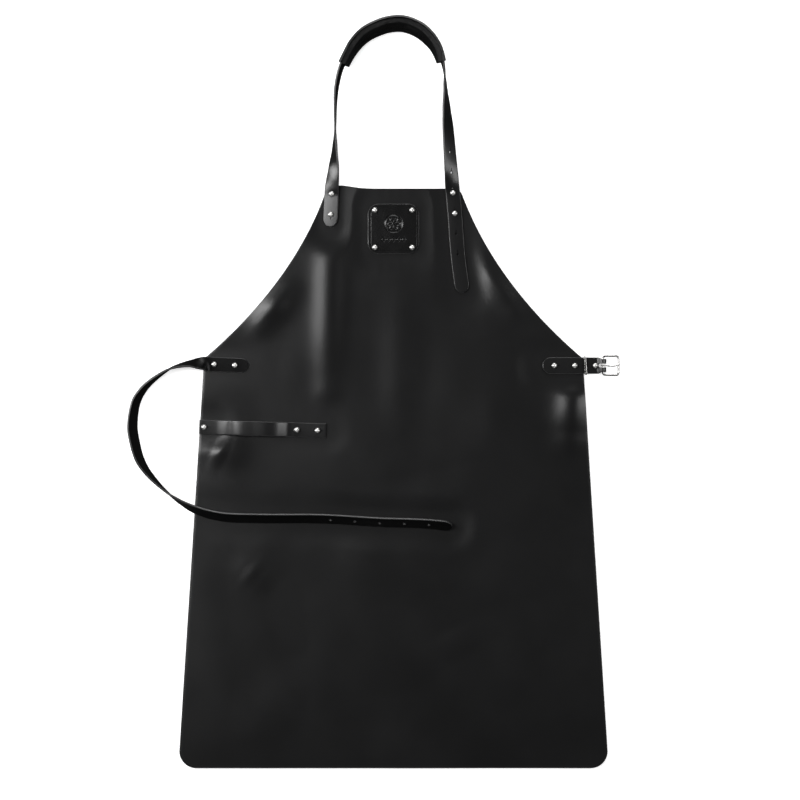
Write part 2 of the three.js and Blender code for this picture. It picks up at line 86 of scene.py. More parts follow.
TOWEL_LENGTH, TOWEL_TILT, TOWEL_RISE = 0.1855, math.radians(-1.7), 0.009
TOWEL_Y = WAIST - 0.099
TOWEL_STUD_FROM_SIDE, TOWEL_STUD_FROM_END = 0.007, 0.010

TAB_WIDTH = 0.024
TAB_Y = WAIST - 0.0095
TAB_END = WAIST_WIDTH / 2 - 0.059
BAR_X = WAIST_WIDTH / 2 + 0.029
WIRE_RADIUS, METAL_GAP = 0.0014, 0.0003
FOLD_RADIUS = WIRE_RADIUS + METAL_GAP + STRAP_THICKNESS / 2
BACK_LAYER = 0.0001 + STRAP_THICKNESS / 2
TAB_STUD_FROM_END = 0.017
TAB_RISE, TAB_PAST_KEEPER = 0.009, 0.0098
TAB_NARROWS_FROM, TAB_NARROWS_OVER = 0.007, 0.005
PRONG_SLOT_HALF, PRONG_SLOT_NEAR, PRONG_SLOT_FAR = 0.0026, 0.0064, 0.009
BAR_Z = BACK_LAYER + FOLD_RADIUS
BUCKLE_REACH, BUCKLE_WIDTH, BUCKLE_CORNER = 0.0233, 0.0252, 0.0042
BUCKLE_TILT = math.asin((BAR_Z - WIRE_RADIUS - METAL_GAP) / BUCKLE_REACH)
PRONG_RADIUS = 0.0009

PAD_WIDTH, PAD_HEM = 0.036, 0.0035
PAD_START, PAD_END, PAD_PARTS = 34, 54, 78
PAD_LIP = 0.00015
PAD_COVER, PAD_LINING, PAD_FOAM, PAD_GAP = 0.0016, 0.0012, 0.004, 0.0005

PATCH_LOW, PATCH_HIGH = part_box("front_patch")
PATCH_WIDTH, PATCH_LENGTH = PATCH_HIGH.x - PATCH_LOW.x, PATCH_HIGH.y - PATCH_LOW.y
PATCH_CORNER, PATCH_STUD_OUT = 0.016, 0.0272
PATCH_Y = (PATCH_LOW.y + PATCH_HIGH.y) / 2

# Up the buckle side from the tail, round the neck and down to the other side of the bib:
# x, height above the bib, height of the lowest edge, roll in degrees
NECK_STATIONS = [
    (0.101, -0.152, STRAP_BASE, 0),
    (0.094, -0.098, STRAP_BASE, 0),
    (0.0896, -0.039, STRAP_BASE, 0),
    (0.087, -0.009, STRAP_BASE, 0),
    (0.086, 0, STRAP_BASE + 0.0003, 3),
    (0.084, 0.026, 0.004, 27),
    (0.0818, 0.056, 0.0036, 36),
    (0.0796, 0.086, 0.004, 44),
    (0.0774, 0.115, 0.005, 60),
    (0.0756, 0.144, 0.006, 79),
    (0.0728, 0.178, 0.0082, 95),
    (0.064, 0.204, 0.008, 106),
    (0.0514, 0.22, 0.0076, 114),
    (0.0365, 0.2315, 0.0073, 119),
    (0.0147, 0.2395, 0.0072, 121),
    (-0.0013, 0.2395, 0.0072, 121),
    (-0.0168, 0.236, 0.0072, 120),
    (-0.0402, 0.225, 0.0074, 118),
    (-0.0555, 0.211, 0.0077, 113),
    (-0.0672, 0.1935, 0.008, 107),
    (-0.0765, 0.174, 0.0082, 104),
    (-0.0832, 0.144, 0.005, 101),
    (-0.0847, 0.115, 0.003, 94),
    (-0.0849, 0.086, 0.0015, 89),
    (-0.0856, 0.056, 0.0009, 72),
    (-0.0874, 0.026, 0.0016, 44),
    (-0.09, 0, STRAP_BASE, 18),
    (-0.0904, -0.009, STRAP_BASE - 0.0004, 10),
    (-0.0914, -0.038, STRAP_BASE - 0.0004, 8),
    (-0.0926, -0.056, STRAP_BASE - 0.0004, 7),
]

# Out from the waist corner, round a loose loop on its edge and back across the panel:
# distance in from the panel's side, height above the waist, lift, roll
WAIST_STATIONS = [
    (0.0656, -0.0095, STRAP_BASE, 0),
    (0.0455, -0.009, STRAP_BASE, 0),
    (0.0145, -0.0075, STRAP_BASE, 0),
    (0.0074, -0.007, STRAP_BASE, 3),
    (-0.0046, -0.0065, STRAP_BASE, 36),
    (-0.0216, -0.007, 0.0014, 68),
    (-0.0442, -0.0125, ON_FLOOR, 84),
    (-0.0549, -0.018, ON_FLOOR, 94),
    (-0.0759, -0.034, ON_FLOOR, 105),
    (-0.0872, -0.047, ON_FLOOR, 113),
    (-0.0952, -0.063, ON_FLOOR, 121),
    (-0.0982, -0.097, ON_FLOOR, 127),
    (-0.0938, -0.12, ON_FLOOR, 127),
    (-0.0853, -0.145, ON_FLOOR, 122),
    (-0.0721, -0.165, ON_FLOOR, 110),
    (-0.0434, -0.193, ON_FLOOR, 92),
    (-0.0235, -0.207, 0.0018, 76),
    (0.0023, -0.22, ON_PANEL, 60),
    (0.0388, -0.2295, ON_PANEL, 54),
    (0.097, -0.232, ON_PANEL, 53),
    (0.185, -0.2325, ON_PANEL, 53),
    (0.2723, -0.2375, ON_PANEL, 53),
    (0.3314, -0.2395, ON_PANEL, 52),
    (0.3606, -0.242, ON_PANEL, 50),
    (0.3767, -0.244, ON_PANEL, 49),
]

# Distance along the towel strap, share of its rise
TOWEL_STATIONS = [
    (0, 0), (0.015, 0), (0.030, 0.06), (0.041, 0.3), (0.051, 0.82), (0.060, 0.98),
    (0.078, 1), (0.100, 0.98), (0.114, 0.72), (0.128, 0.1), (0.141, 0), (TOWEL_LENGTH, 0),
]


def side_at(y):
    """Half the panel's width between hem and waist."""
    return WAIST_WIDTH / 2 + (WAIST - y) * SIDE_SLOPE


# ------------------------------------------------------------------ settings


def size_property(name, description, default, low, high):
    return bpy.props.FloatProperty(
        name=name, description=description, default=default, min=low, max=high,
        subtype="DISTANCE", unit="LENGTH")


def colour_property(name, description, default):
    return bpy.props.FloatVectorProperty(
        name=name, description=description, default=default, min=0, max=1,
        size=3, subtype="COLOR")


class ApronSizes(bpy.types.PropertyGroup):
    edge_rounding: size_property(
        "Edge rounding", "Radius of the leather's burnished edges", 0.0007, 0.0001, 0.0014)
    undulation: size_property(
        "Undulation", "Height of the soft waves in the panel", 0.0034, 0, 0.006)
    panel_pitch: size_property(
        "Panel mesh pitch", "Spacing of the panel's mesh", 0.0055, 0.003, 0.02)
    stud_radius: size_property(
        "Stud radius", "Radius of a ball stud's head", 0.004, 0.002, 0.006)
    screw_radius: size_property(
        "Screw radius", "Radius of the screw heads behind the studs", 0.004, 0.002, 0.006)
    stitch_pitch: size_property(
        "Stitch pitch", "Distance from one pad stitch to the next", 0.0048, 0.002, 0.01)
    stitch_length: size_property(
        "Stitch length", "Length of thread that shows in one stitch", 0.0036, 0.001, 0.008)
    thread_radius: size_property(
        "Thread radius", "Radius of the pad's sewing thread", 0.0004, 0.0001, 0.001)
    pad_puff: size_property(
        "Pad puff", "Furthest that a point of the pad swells", 0.0014, 0, 0.004)


class ApronColours(bpy.types.PropertyGroup):
    panel: colour_property(
        "Panel", "Colour of the panel's grain side", (0.0032, 0.0032, 0.0034))
    strap: colour_property(
        "Straps", "Colour of the straps' grain side", (0.0032, 0.0032, 0.0034))
    edge: colour_property(
        "Cut edges", "Colour of the burnished cut edges", (0.012, 0.012, 0.0125))
    flesh: colour_property(
        "Flesh side", "Colour of the leather's rough back", (0.0018, 0.0017, 0.0017))
    lining: colour_property(
        "Lining", "Colour of the neck pad's lining", (0.0014, 0.0014, 0.0015))
    thread: colour_property(
        "Thread", "Colour of the waxed thread", (0.008, 0.008, 0.0084))
    foam: colour_property(
        "Foam", "Colour of the padding", (0.05, 0.05, 0.052))
    nickel: colour_property(
        "Nickel", "Colour of the studs, screws and buckle", (0.66, 0.655, 0.64))
    floor: colour_property(
        "Floor", "Colour of the pale floor", (0.93, 0.93, 0.93))


# ------------------------------------------------------------------ materials


class Wire:
    """A shader socket that adds its own Math nodes when it is used in an expression."""

    def __init__(self, paint, socket):
        self.paint, self.socket = paint, socket

    def _math(self, operation, a, b):
        return self.paint.node("ShaderNodeMath", {"operation": operation}, {0: a, 1: b})

    def __add__(self, other):
        return self._math("ADD", self, other)

    def __rsub__(self, other):
        return self._math("SUBTRACT", other, self)

    def __mul__(self, other):
        return self._math("MULTIPLY", self, other)

    def between(self, low, high):
        """0 at low and below, 1 at high and above, eased between them."""
        settings = {"interpolation_type": "SMOOTHSTEP"}
        return self.paint.node("ShaderNodeMapRange", settings, {"Value": self, 1: low, 2: high})

    __radd__ = __add__
    __rmul__ = __mul__


class Paint:
    """One material and the nodes in it."""

    def __init__(self, name, **constants):
        self.material = bpy.data.materials.new(name)
        self.material.use_nodes = True
        self.tree = self.material.node_tree
        self.surface = self.tree.nodes["Principled BSDF"]
        for socket, value in constants.items():
            self.surface.inputs[socket.replace("_", " ")].default_value = value
        self.place = self.node("ShaderNodeTexCoord", {}, {}, "Object")

    def node(self, kind, settings, inputs, output=0):
        made = self.tree.nodes.new(kind)
        for key, value in settings.items():
            setattr(made, key, value)
        for key, value in inputs.items():
            if isinstance(value, Wire):
                self.tree.links.new(value.socket, made.inputs[key])
            else:
                made.inputs[key].default_value = value
        return Wire(self, made.outputs[output])

    def noise(self, scale, detail, stretch=None, roughness=0.5):
        at = self.place
        if stretch:
            at = self.node("ShaderNodeMapping", {}, {"Vector": at, "Scale": stretch})
        return self.node("ShaderNodeTexNoise", {}, {
            "Vector": at, "Scale": scale, "Detail": detail, "Roughness": roughness})

    def cells(self, scale, feature="F1"):
        return self.node("ShaderNodeTexVoronoi", {"feature": feature}, {
            "Vector": self.place, "Scale": scale, "Randomness": 1.0})

    def blend(self, share, a, b):
        """Two colours mixed by a share."""
        colours = {"Factor": share}
        for key, value in ((6, a), (7, b)):
            colours[key] = value if isinstance(value, Wire) else (*value, 1)
        return self.node("ShaderNodeMix", {"data_type": "RGBA"}, colours, 2)

    def bump(self, height, distance, strength, normal=None):
        inputs = {"Height": height, "Distance": distance, "Strength": strength}
        if normal:
            inputs["Normal"] = normal
        return self.node("ShaderNodeBump", {}, inputs)

    def set(self, **wires):
        for socket, wire in wires.items():
            target = self.surface.inputs[socket.replace("_", " ")]
            self.tree.links.new(wire.socket, target)
        return self.material


def shade(colour, factor):
    return tuple(min(channel * factor, 1) for channel in colour)


def full_grain(name, colour, gloss, grain=1.0, coat=0.0, shine=0.5):
    """Smooth dyed leather: pebbled grain, pores, soft waxy patches and fine scuffs."""
    paint = Paint(name, Specular_IOR_Level=shine, Coat_Weight=coat, Coat_Roughness=0.22)
    patches = paint.noise(9, 4).between(0.3, 0.72)
    pebbles = paint.cells(760, "SMOOTH_F1")
    pores = 1 - paint.cells(430).between(0.05, 0.16)
    fine = paint.noise(1500, 3)
    scuffs = paint.noise(60, 6, (1, 9, 1), 0.72).between(0.66, 0.8)
    colours = paint.blend(patches, shade(colour, 0.88), shade(colour, 1.12))
    colours = paint.blend(scuffs * 0.3, colours, shade(colour, 2.2))
    rough = patches * 0.02 + fine * 0.05 + scuffs * 0.06 + (gloss - 0.03)
    skin = paint.bump(pebbles, 0.0001, 0.26 * grain)
    skin = paint.bump(pores * -1, 0.00006, 0.4 * grain, skin)
    skin = paint.bump(fine, 0.00002, 0.3 * grain, skin)
    return paint.set(Base_Color=colours, Roughness=rough, Normal=skin)


def cut_edge(name, colour):
    """The burnished cut edge, with the leather's fibres just showing."""
    paint = Paint(name, Specular_IOR_Level=0.6)
    fibres = paint.noise(900, 5, (1, 1, 4), 0.65)
    worn = paint.noise(70, 3).between(0.4, 0.75)
    colours = paint.blend(fibres, shade(colour, 0.55), shade(colour, 1.5))
    colours = paint.blend(worn * 0.5, colours, shade(colour, 2.2))
    return paint.set(
        Base_Color=colours, Roughness=fibres * 0.2 + 0.28, Normal=paint.bump(fibres, 0.0001, 0.5))


def flesh_side(name, colour):
    """The rough back of the leather: short brushed fibres and a few loose ones."""
    paint = Paint(name, Specular_IOR_Level=0.06)
    nap = paint.noise(1300, 6, None, 0.7)
    brushed = paint.noise(160, 5, (1, 6, 1), 0.7)
    clouds = paint.noise(22, 4).between(0.3, 0.7)
    colours = paint.blend(nap, shade(colour, 0.5), shade(colour, 1.6))
    colours = paint.blend(clouds * 0.5, colours, shade(colour, 1.9))
    felt = paint.bump(brushed, 0.0002, 0.5, paint.bump(nap, 0.0002, 0.8))
    return paint.set(Base_Color=colours, Roughness=nap * 0.16 + 0.72, Normal=felt)


def lining_leather(name, colour):
    """Soft matte lining, finely creased."""
    paint = Paint(name, Specular_IOR_Level=0.2)
    creases = paint.cells(520, "DISTANCE_TO_EDGE").between(0.0, 0.09)
    fine = paint.noise(1900, 3)
    worn = paint.noise(40, 4).between(0.35, 0.7)
    colours = paint.blend(worn, shade(colour, 0.75), shade(colour, 1.5))
    skin = paint.bump(creases, 0.00016, 0.5, paint.bump(fine, 0.00006, 0.5))
    return paint.set(Base_Color=colours, Roughness=worn * 0.1 + fine * 0.08 + 0.42, Normal=skin)


def foam_padding(name, colour):
    """Open-celled foam, seen at the two mouths of the pad."""
    paint = Paint(name, Specular_IOR_Level=0.3)
    cells = paint.cells(1500).between(0.1, 0.7)
    tint = paint.noise(60, 3)
    colours = paint.blend(cells * tint, shade(colour, 0.45), shade(colour, 1.3))
    return paint.set(
        Base_Color=colours, Roughness=cells * 0.1 + 0.8, Normal=paint.bump(cells, 0.0003, 0.9))


def waxed_thread(name, colour):
    """Twisted thread with a little wax on it."""
    paint = Paint(name, Specular_IOR_Level=0.5)
    twist = paint.node("ShaderNodeTexWave", {"bands_direction": "DIAGONAL"}, {
        "Vector": paint.place, "Scale": 420, "Distortion": 1.5, "Detail": 2})
    colours = paint.blend(twist, shade(colour, 0.5), shade(colour, 1.6))
    return paint.set(
        Base_Color=colours, Roughness=twist * 0.15 + 0.4, Normal=paint.bump(twist, 0.0001, 0.7))


def nickel_plate(name, colour, gloss):
    """Polished nickel, hazed by handling and finely scratched."""
    paint = Paint(name, Metallic=1.0)
    haze = paint.noise(180, 5).between(0.35, 0.7)
    scratches = paint.noise(900, 6, (1, 14, 1), 0.75).between(0.62, 0.8)
    tarnish = paint.noise(420, 4).between(0.55, 0.78)
    colours = paint.blend(tarnish * 0.4, colour, shade(colour, 0.45))
    rough = haze * 0.1 + scratches * 0.16 + tarnish * 0.12 + gloss
    return paint.set(
        Base_Color=colours, Roughness=rough, Normal=paint.bump(scratches, 0.00003, 0.4))


def pale_floor(name, colour):
    paint = Paint(name, Specular_IOR_Level=0.1, Emission_Strength=0.6)
    paint.surface.inputs["Emission Color"].default_value = (1, 1, 1, 1)
    tone = paint.noise(3, 3)
    colours = paint.blend(tone, shade(colour, 0.98), colour)
    return paint.set(Base_Color=colours, Roughness=tone * 0.05 + 0.85)


def make_materials(colours):
    return {
        "panel": full_grain("panel_grain", colours.panel, 0.29),
        "strap": full_grain("strap_grain", colours.strap, 0.29, 0.7),
        "patch": full_grain("patch_grain", shade(colours.panel, 0.6), 0.27, 0.5, 0.3, 0.3),
        # Painted shade: the waist strap's grain is the strap colour darkened to half, with less
        # shine, for the shade on its tilted faces
        "belt_painted_shade": full_grain("belt_grain", shade(colours.strap, 0.5), 0.32, 0.7, shine=0.15),
        "pad": full_grain("pad_grain", shade(colours.strap, 0.3), 0.44, 1.1, shine=0.08),
        "edge": cut_edge("burnished_edge", colours.edge),
        "flesh": flesh_side("flesh_side", colours.flesh),
        "lining": lining_leather("pad_lining_leather", colours.lining),
        "foam": foam_padding("pad_foam_cells", colours.foam),
        "thread": waxed_thread("waxed_thread", colours.thread),
        "nickel": nickel_plate("nickel_plate", colours.nickel, 0.34),
        # Painted shade: the buckle's nickel is the studs' nickel darkened to 0.68, to tone down
        # its bright reflections
        "buckle": nickel_plate("buckle_nickel_plate", shade(colours.nickel, 0.68), 0.1),
        "floor": pale_floor("pale_floor", colours.floor),
    }


MATERIALS = {}
GRAIN, EDGE, FLESH = 0, 1, 2
# A rounded edge's quarter turn, in roundings: how far out, how far down
ROUND_EDGE = ((0.5, 0.13), (0.87, 0.5), (1, 1))


def leather(face):
    """The three materials of a cut piece of leather: face, cut edge and back."""
    return [MATERIALS[face], MATERIALS["edge"], MATERIALS["flesh"]]


# ------------------------------------------------------------------ meshes


def finished(name, points, faces, materials, kinds=None, crisp=35, turned_out=True):
    """A piece from its points and faces, smooth but for edges sharper than crisp degrees."""
    mesh = bpy.data.meshes.new(name)
    mesh.from_pydata([tuple(map(float, point)) for point in points], [], faces)
    if kinds is not None:
        mesh.polygons.foreach_set("material_index", kinds)
    if turned_out:
        shape = bmesh.new()
        shape.from_mesh(mesh)
        bmesh.ops.recalc_face_normals(shape, faces=shape.faces)
        shape.to_mesh(mesh)
        shape.free()
    for material in materials:
        mesh.materials.append(material)
    smooth(mesh, crisp)
    piece = bpy.data.objects.new(name, mesh)
    bpy.context.scene.collection.objects.link(piece)
    return piece


def smooth(mesh, crisp):
    mesh.shade_smooth()
    mesh.set_sharp_from_angle(angle=math.radians(crisp))


def applied(piece):
    """Turns a piece's modifiers into its mesh."""
    bpy.context.view_layer.update()
    depsgraph = bpy.context.evaluated_depsgraph_get()
    mesh = bpy.data.meshes.new_from_object(piece.evaluated_get(depsgraph), depsgraph=depsgraph)
    old = piece.data
    piece.modifiers.clear()
    piece.data = mesh
    bpy.data.meshes.remove(old)
    mesh.name = piece.name
    return piece


def discard(*pieces):
    for piece in pieces:
        bpy.data.objects.remove(piece)


def carve(piece, cutters, crisp=35):
    """Cuts a list of (points, faces) shapes out of a piece, leaving cut-edge walls."""
    points, faces = [], []
    for cutter_points, cutter_faces in cutters:
        first = len(points)
        points += list(cutter_points)
        faces += [tuple(first + i for i in face) for face in cutter_faces]
    tool = finished("cutter", points, faces, piece.data.materials, [EDGE] * len(faces))
    modifier = piece.modifiers.new("holes", "BOOLEAN")
    modifier.operation, modifier.solver, modifier.object = "DIFFERENCE", "EXACT", tool
    applied(piece)
    discard(tool)
    smooth(piece.data, crisp)
    return piece


def bevel(piece, width):
    modifier = piece.modifiers.new("rounded edges", "BEVEL")
    modifier.width, modifier.segments = width, 2
    modifier.limit_method, modifier.angle_limit = "ANGLE", math.radians(50)
    return piece


def rings_to_faces(count, sides, closed=False):
    """Quads between rings of points, one after another; an open run gets an end face each."""
    faces = []
    for i in range(count if closed else count - 1):
        a, b = i * sides, (i + 1) % count * sides
        for j in range(sides):
            k = (j + 1) % sides
            faces.append((a + j, a + k, b + k, b + j))
    if not closed:
        faces.append(tuple(range(sides - 1, -1, -1)))
        faces.append(tuple(range((count - 1) * sides, count * sides)))
    return faces


def turned_shape(profile, sides, centre=(0, 0, 0)):
    """A shape turned about Z from [radius, height] pairs that start and end on the axis."""
    points = [(0, 0, profile[0][1])]
    for radius, height in profile[1:-1]:
        for i in range(sides):
            angle = 2 * math.pi * i / sides
            points.append((radius * math.cos(angle), radius * math.sin(angle), height))
    points.append((0, 0, profile[-1][1]))
    faces = []
    rows = len(profile) - 2
    for i in range(sides):
        k = (i + 1) % sides
        faces.append((0, 1 + k, 1 + i))
        for row in range(rows - 1):
            a, b = 1 + row * sides, 1 + (row + 1) * sides
            faces.append((a + i, a + k, b + k, b + i))
        last = 1 + (rows - 1) * sides
        faces.append((last + i, last + k, len(points) - 1))
    return [Vector(centre) + Vector(point) for point in points], faces


def grid_faces(rows, columns):
    """Quads of a grid of points that are listed row by row."""
    return [(i * columns + j, i * columns + j + 1, (i + 1) * columns + j + 1,
             (i + 1) * columns + j) for i in range(rows - 1) for j in range(columns - 1)]


def grid_border(rows, columns):
    """The points round the rim of a grid, in order."""
    border = list(range(columns)) + [i * columns + columns - 1 for i in range(1, rows)]
    border += [(rows - 1) * columns + j for j in range(columns - 2, -1, -1)]
    return border + [i * columns for i in range(rows - 2, 0, -1)]


def outward_steps(loop):
    """Unit steps out of a closed loop of (x, y), seen from each of its points."""
    run = np.roll(loop, -1, axis=0) - np.roll(loop, 1, axis=0)
    run /= np.linalg.norm(run, axis=1)[:, None]
    return np.stack([run[:, 1], -run[:, 0]], 1)


def walls(loops):
    """Quads that join each closed loop of points to the next."""
    count = len(loops[0])
    return [(upper[i], lower[i], lower[(i + 1) % count], upper[(i + 1) % count])
            for upper, lower in zip(loops, loops[1:]) for i in range(count)]


def tube(points, radius, sides, closed=False):
    """Points and faces of a round wire along points."""
    points = [Vector(point) for point in points]
    count = len(points)
    angles = [2 * math.pi * i / sides for i in range(sides)]
    section = [(radius * math.cos(angle), radius * math.sin(angle)) for angle in angles]
    made = []
    side = None
    for i, point in enumerate(points):
        before = points[(i - 1) % count] if closed else points[max(i - 1, 0)]
        after = points[(i + 1) % count] if closed else points[min(i + 1, count - 1)]
        ahead = (after - before).normalized()
        if side is None:
            side = ahead.orthogonal().normalized()
            if abs(ahead.z) < 0.9:
                side = ahead.cross(Vector((0, 0, 1))).normalized()
        side = (side - ahead * side.dot(ahead)).normalized()
        up = side.cross(ahead)
        made += [point + side * u + up * v for u, v in section]
    return made, rings_to_faces(count, sides, closed)


def rounded_outline(width, height, radius, steps):
    """A closed rounded rectangle of (x, y) points, anticlockwise."""
    outline = []
    for quarter, (sx, sy) in enumerate(((1, 1), (-1, 1), (-1, -1), (1, -1))):
        for i in range(steps + 1):
            angle = math.pi / 2 * (quarter + i / steps)
            outline.append((
                sx * (width / 2 - radius) + radius * math.cos(angle),
                sy * (height / 2 - radius) + radius * math.sin(angle)))
    return outline


def evened(outline, pitch):
    """A closed outline's points with its long runs divided."""
    out = []
    for i, (x, y) in enumerate(outline):
        nx, ny = outline[(i + 1) % len(outline)]
        parts = max(1, round(math.hypot(nx - x, ny - y) / pitch))
        out += [(x + (nx - x) * k / parts, y + (ny - y) * k / parts) for k in range(parts)]
    return out


# ------------------------------------------------------------------ straps


def spline(values, tension=None):
    """Points along a Catmull-Rom curve through rows of values, 24 to a span.
    Without a tension it is centripetal; with one its tangents are that share of the chord."""
    rows = np.array(values, float)
    first, last = 2 * rows[0] - rows[1], 2 * rows[-1] - rows[-2]
    rows = np.vstack([first, rows, last])
    out = []
    for i in range(1, len(rows) - 2):
        a, b, c, d = rows[i - 1:i + 3]
        if tension is None:
            near, mid, far = (
                math.sqrt(np.linalg.norm(q - p)) for p, q in ((a, b), (b, c), (c, d)))
            leave = ((b - a) / near - (c - a) / (near + mid) + (c - b) / mid) * mid
            arrive = ((c - b) / mid - (d - b) / (mid + far) + (d - c) / far) * mid
        else:
            leave, arrive = tension * (c - a), tension * (d - b)
        for t in np.arange(24) / 24:
            out.append(
                b + leave * t + (3 * (c - b) - 2 * leave - arrive) * t ** 2
                + (2 * (b - c) + leave + arrive) * t ** 3)
    out.append(rows[-2])
    return np.array(out)


class Route:
    """A strap's way along stations of (x, y, lift, roll)."""

    def __init__(self, stations):
        centres = []
        for x, y, lift, roll in stations:
            roll = math.radians(roll)
            upright = abs(math.sin(roll)) * STRAP_WIDTH / 2
            flat = abs(math.cos(roll)) * STRAP_THICKNESS / 2
            centres.append((x, y, lift + upright + flat))
        self.line = spline(centres)
        self.rolls = np.radians(spline([[row[3]] for row in stations], 0.3)[:, 0])
        steps = np.linalg.norm(np.diff(self.line, axis=0), axis=1)
        self.along = np.concatenate([[0], np.cumsum(steps)])
        self.length = float(self.along[-1])

    def centre(self, distances):
        return np.stack([np.interp(distances, self.along, self.line[:, k]) for k in range(3)], 1)

    def frames(self, distances):
        """Centre, across, face and ahead vectors at each distance."""
        distances = np.clip(np.asarray(distances, float), 0, self.length)
        reach = 0.0008
        after = self.centre(np.clip(distances + reach, 0, self.length))
        before = self.centre(np.clip(distances - reach, 0, self.length))
        ahead = after - before
        ahead /= np.linalg.norm(ahead, axis=1)[:, None]
        inner = np.cross((0, 0, 1), ahead)
        inner /= np.linalg.norm(inner, axis=1)[:, None]
        up = np.cross(ahead, inner)
        roll = np.interp(distances, self.along, self.rolls)[:, None]
        across = inner * np.cos(roll) + up * np.sin(roll)
        face = up * np.cos(roll) - inner * np.sin(roll)
        return self.centre(distances), across, face, ahead

    def place(self, distance):
        """A matrix with x across, y out of the face and z ahead."""
        centre, across, face, ahead = (rows[0] for rows in self.frames([distance]))
        return frame_matrix(centre, across, face, ahead)


class FoldRoute(Route):
    """A strap's way in the XZ plane, from points of (x, z), all at one y."""

    def __init__(self, points, y):
        self.line = np.array([(x, y, z) for x, z in points])
        steps = np.linalg.norm(np.diff(self.line, axis=0), axis=1)
        self.along = np.concatenate([[0], np.cumsum(steps)])
        self.length = float(self.along[-1])

    def frames(self, distances):
        distances = np.clip(np.asarray(distances, float), 0, self.length)
        reach = 0.0003
        after = self.centre(np.clip(distances + reach, 0, self.length))
        ahead = after - self.centre(np.clip(distances - reach, 0, self.length))
        ahead /= np.linalg.norm(ahead, axis=1)[:, None]
        across = np.tile((0.0, 1.0, 0.0), (len(distances), 1))
        return self.centre(distances), across, np.cross(ahead, across), ahead


def frame_matrix(centre, across, face, ahead):
    matrix = Matrix.Identity(4)
    for column, vector in enumerate((across, face, ahead, centre)):
        for row in range(3):
            matrix[row][column] = float(vector[row])
    return matrix


def nose_width(distance, length):
    """Share of the full width at a distance from a rounded tip."""
    left = max(0.0, 1 - distance / length)
    return math.sqrt(max(0.0, 1 - left * left))


def strap_stops(length, pitch, start_tip, end_tip):
    """Distances for a strap's rings, closer together at its tips."""
    tip = [0.00002, 0.0002, 0.0006, 0.0013, 0.0023, 0.0036, 0.0052, 0.0072, 0.0095]
    square = [0.0, 0.0004, 0.0009, 0.003, 0.006, 0.009]
    head, tail = (tip if rounded else square for rounded in (start_tip, end_tip))
    middle = np.linspace(TIP_LENGTH, length - TIP_LENGTH, round(length / pitch))
    return [*head, *middle, *(length - distance for distance in reversed(tail))]


def strap_piece(name, route, width, pitch, start_tip=True, end_tip=True, wave=0.0, seed=0,
                narrowing=None, skin="strap"):
    """A strap with rounded edges, its face a little crowned, its ends rounded or square."""
    rounding = bpy.context.scene.apron_sizes.edge_rounding
    stops = strap_stops(route.length, pitch, start_tip, end_tip)
    centre, across, face, ahead = route.frames(stops)
    half = STRAP_THICKNESS / 2
    rows, kinds = [], []
    spread = [math.cos(math.pi * i / 8) for i in range(1, 8)]
    for i, distance in enumerate(stops):
        reach, thick = width / 2, half
        from_end = route.length - distance
        for tip, gap in ((start_tip, distance), (end_tip, from_end)):
            if tip:
                reach *= nose_width(gap, TIP_LENGTH) if gap < TIP_LENGTH else 1
            elif gap < rounding:
                shrink = rounding - math.sqrt(max(0, rounding ** 2 - (rounding - gap) ** 2))
                reach, thick = reach - shrink, half - shrink
        if narrowing:
            reach = min(reach, narrowing(centre[i]))
        tip_gap = min(distance if start_tip else 1, from_end if end_tip else 1)
        if tip_gap < rounding:
            thick = half * (0.55 + 0.45 * math.sqrt(tip_gap / rounding))
        curve = min(rounding, reach * 0.9, thick * 0.9)
        outline = []
        for corner, (su, sv) in enumerate(((1, 1), (-1, 1), (-1, -1), (1, -1))):
            for k in range(4):
                angle = math.pi / 2 * (corner + k / 3)
                outline.append((
                    su * (reach - curve) + curve * math.cos(angle),
                    sv * (thick - curve) + curve * math.sin(angle)))
            if corner == 0:
                outline += [((reach - curve) * share, thick) for share in spread]
            if corner == 2:
                outline += [(-(reach - curve) * share, -thick) for share in spread]
        lift = wave * noise.noise(Vector((distance * 24, seed, 0)))
        for u, v in outline:
            share = u / max(width / 2, 1e-9)
            crown = STRAP_CROWN * (1 - share * share) * (v > 0)
            ripple = wave * 0.6 * noise.noise(Vector((distance * 60, u * 60, seed + 3)))
            offset = v + crown + (lift + ripple) * (1 - 0.4 * abs(share))
            rows.append(centre[i] + across[i] * u + face[i] * offset)
    sides = len(outline)
    faces = rings_to_faces(len(stops), sides)
    ring_kinds = [EDGE] * 3 + [GRAIN] * 8 + [EDGE] * 4 + [EDGE] * 3 + [FLESH] * 8 + [EDGE] * 4
    kinds = ring_kinds[:sides] * (len(stops) - 1) + [EDGE, EDGE]
    return finished(name, rows, faces, leather(skin), kinds)


def keyhole(place, radius, slit=0.0):
    """A cutter for a punched hole, softened at its rims, with a slit beside it."""
    half, steps = STRAP_THICKNESS / 2, 20
    points, sides = [], 0
    levels = ((half + 0.0006, 1.6), (half + 0.0001, 1), (half - 0.0005, 0))
    levels = [*levels, *((-height, flare) for height, flare in reversed(levels))]
    for height, flare in levels:
        rim = flare * HOLE_SOFTENING
        grown = radius + rim
        outline = []
        if slit:
            wide = SLIT_WIDTH / 2 + rim * 0.5
            open_angle = math.asin(wide / grown)
            for i in range(steps + 1):
                angle = open_angle + (2 * math.pi - 2 * open_angle) * i / steps
                outline.append((grown * math.sin(angle), grown * math.cos(angle)))
            end = radius + slit + rim * 0.5
            outline += [(-wide, end), (wide, end)]
        else:
            for i in range(steps):
                angle = 2 * math.pi * i / steps
                outline.append((grown * math.sin(angle), grown * math.cos(angle)))
        sides = len(outline)
        points += [place @ Vector((x, height, z)) for x, z in outline]
    return points, rings_to_faces(len(levels), sides)


def flat_place(x, y, z, heading):
    """A place on flat leather, with z along the heading."""
    ahead = Vector((math.cos(heading), math.sin(heading), 0))
    across = Vector((0, 0, 1)).cross(ahead)
    return frame_matrix((x, y, z), across, (0, 0, 1), ahead)


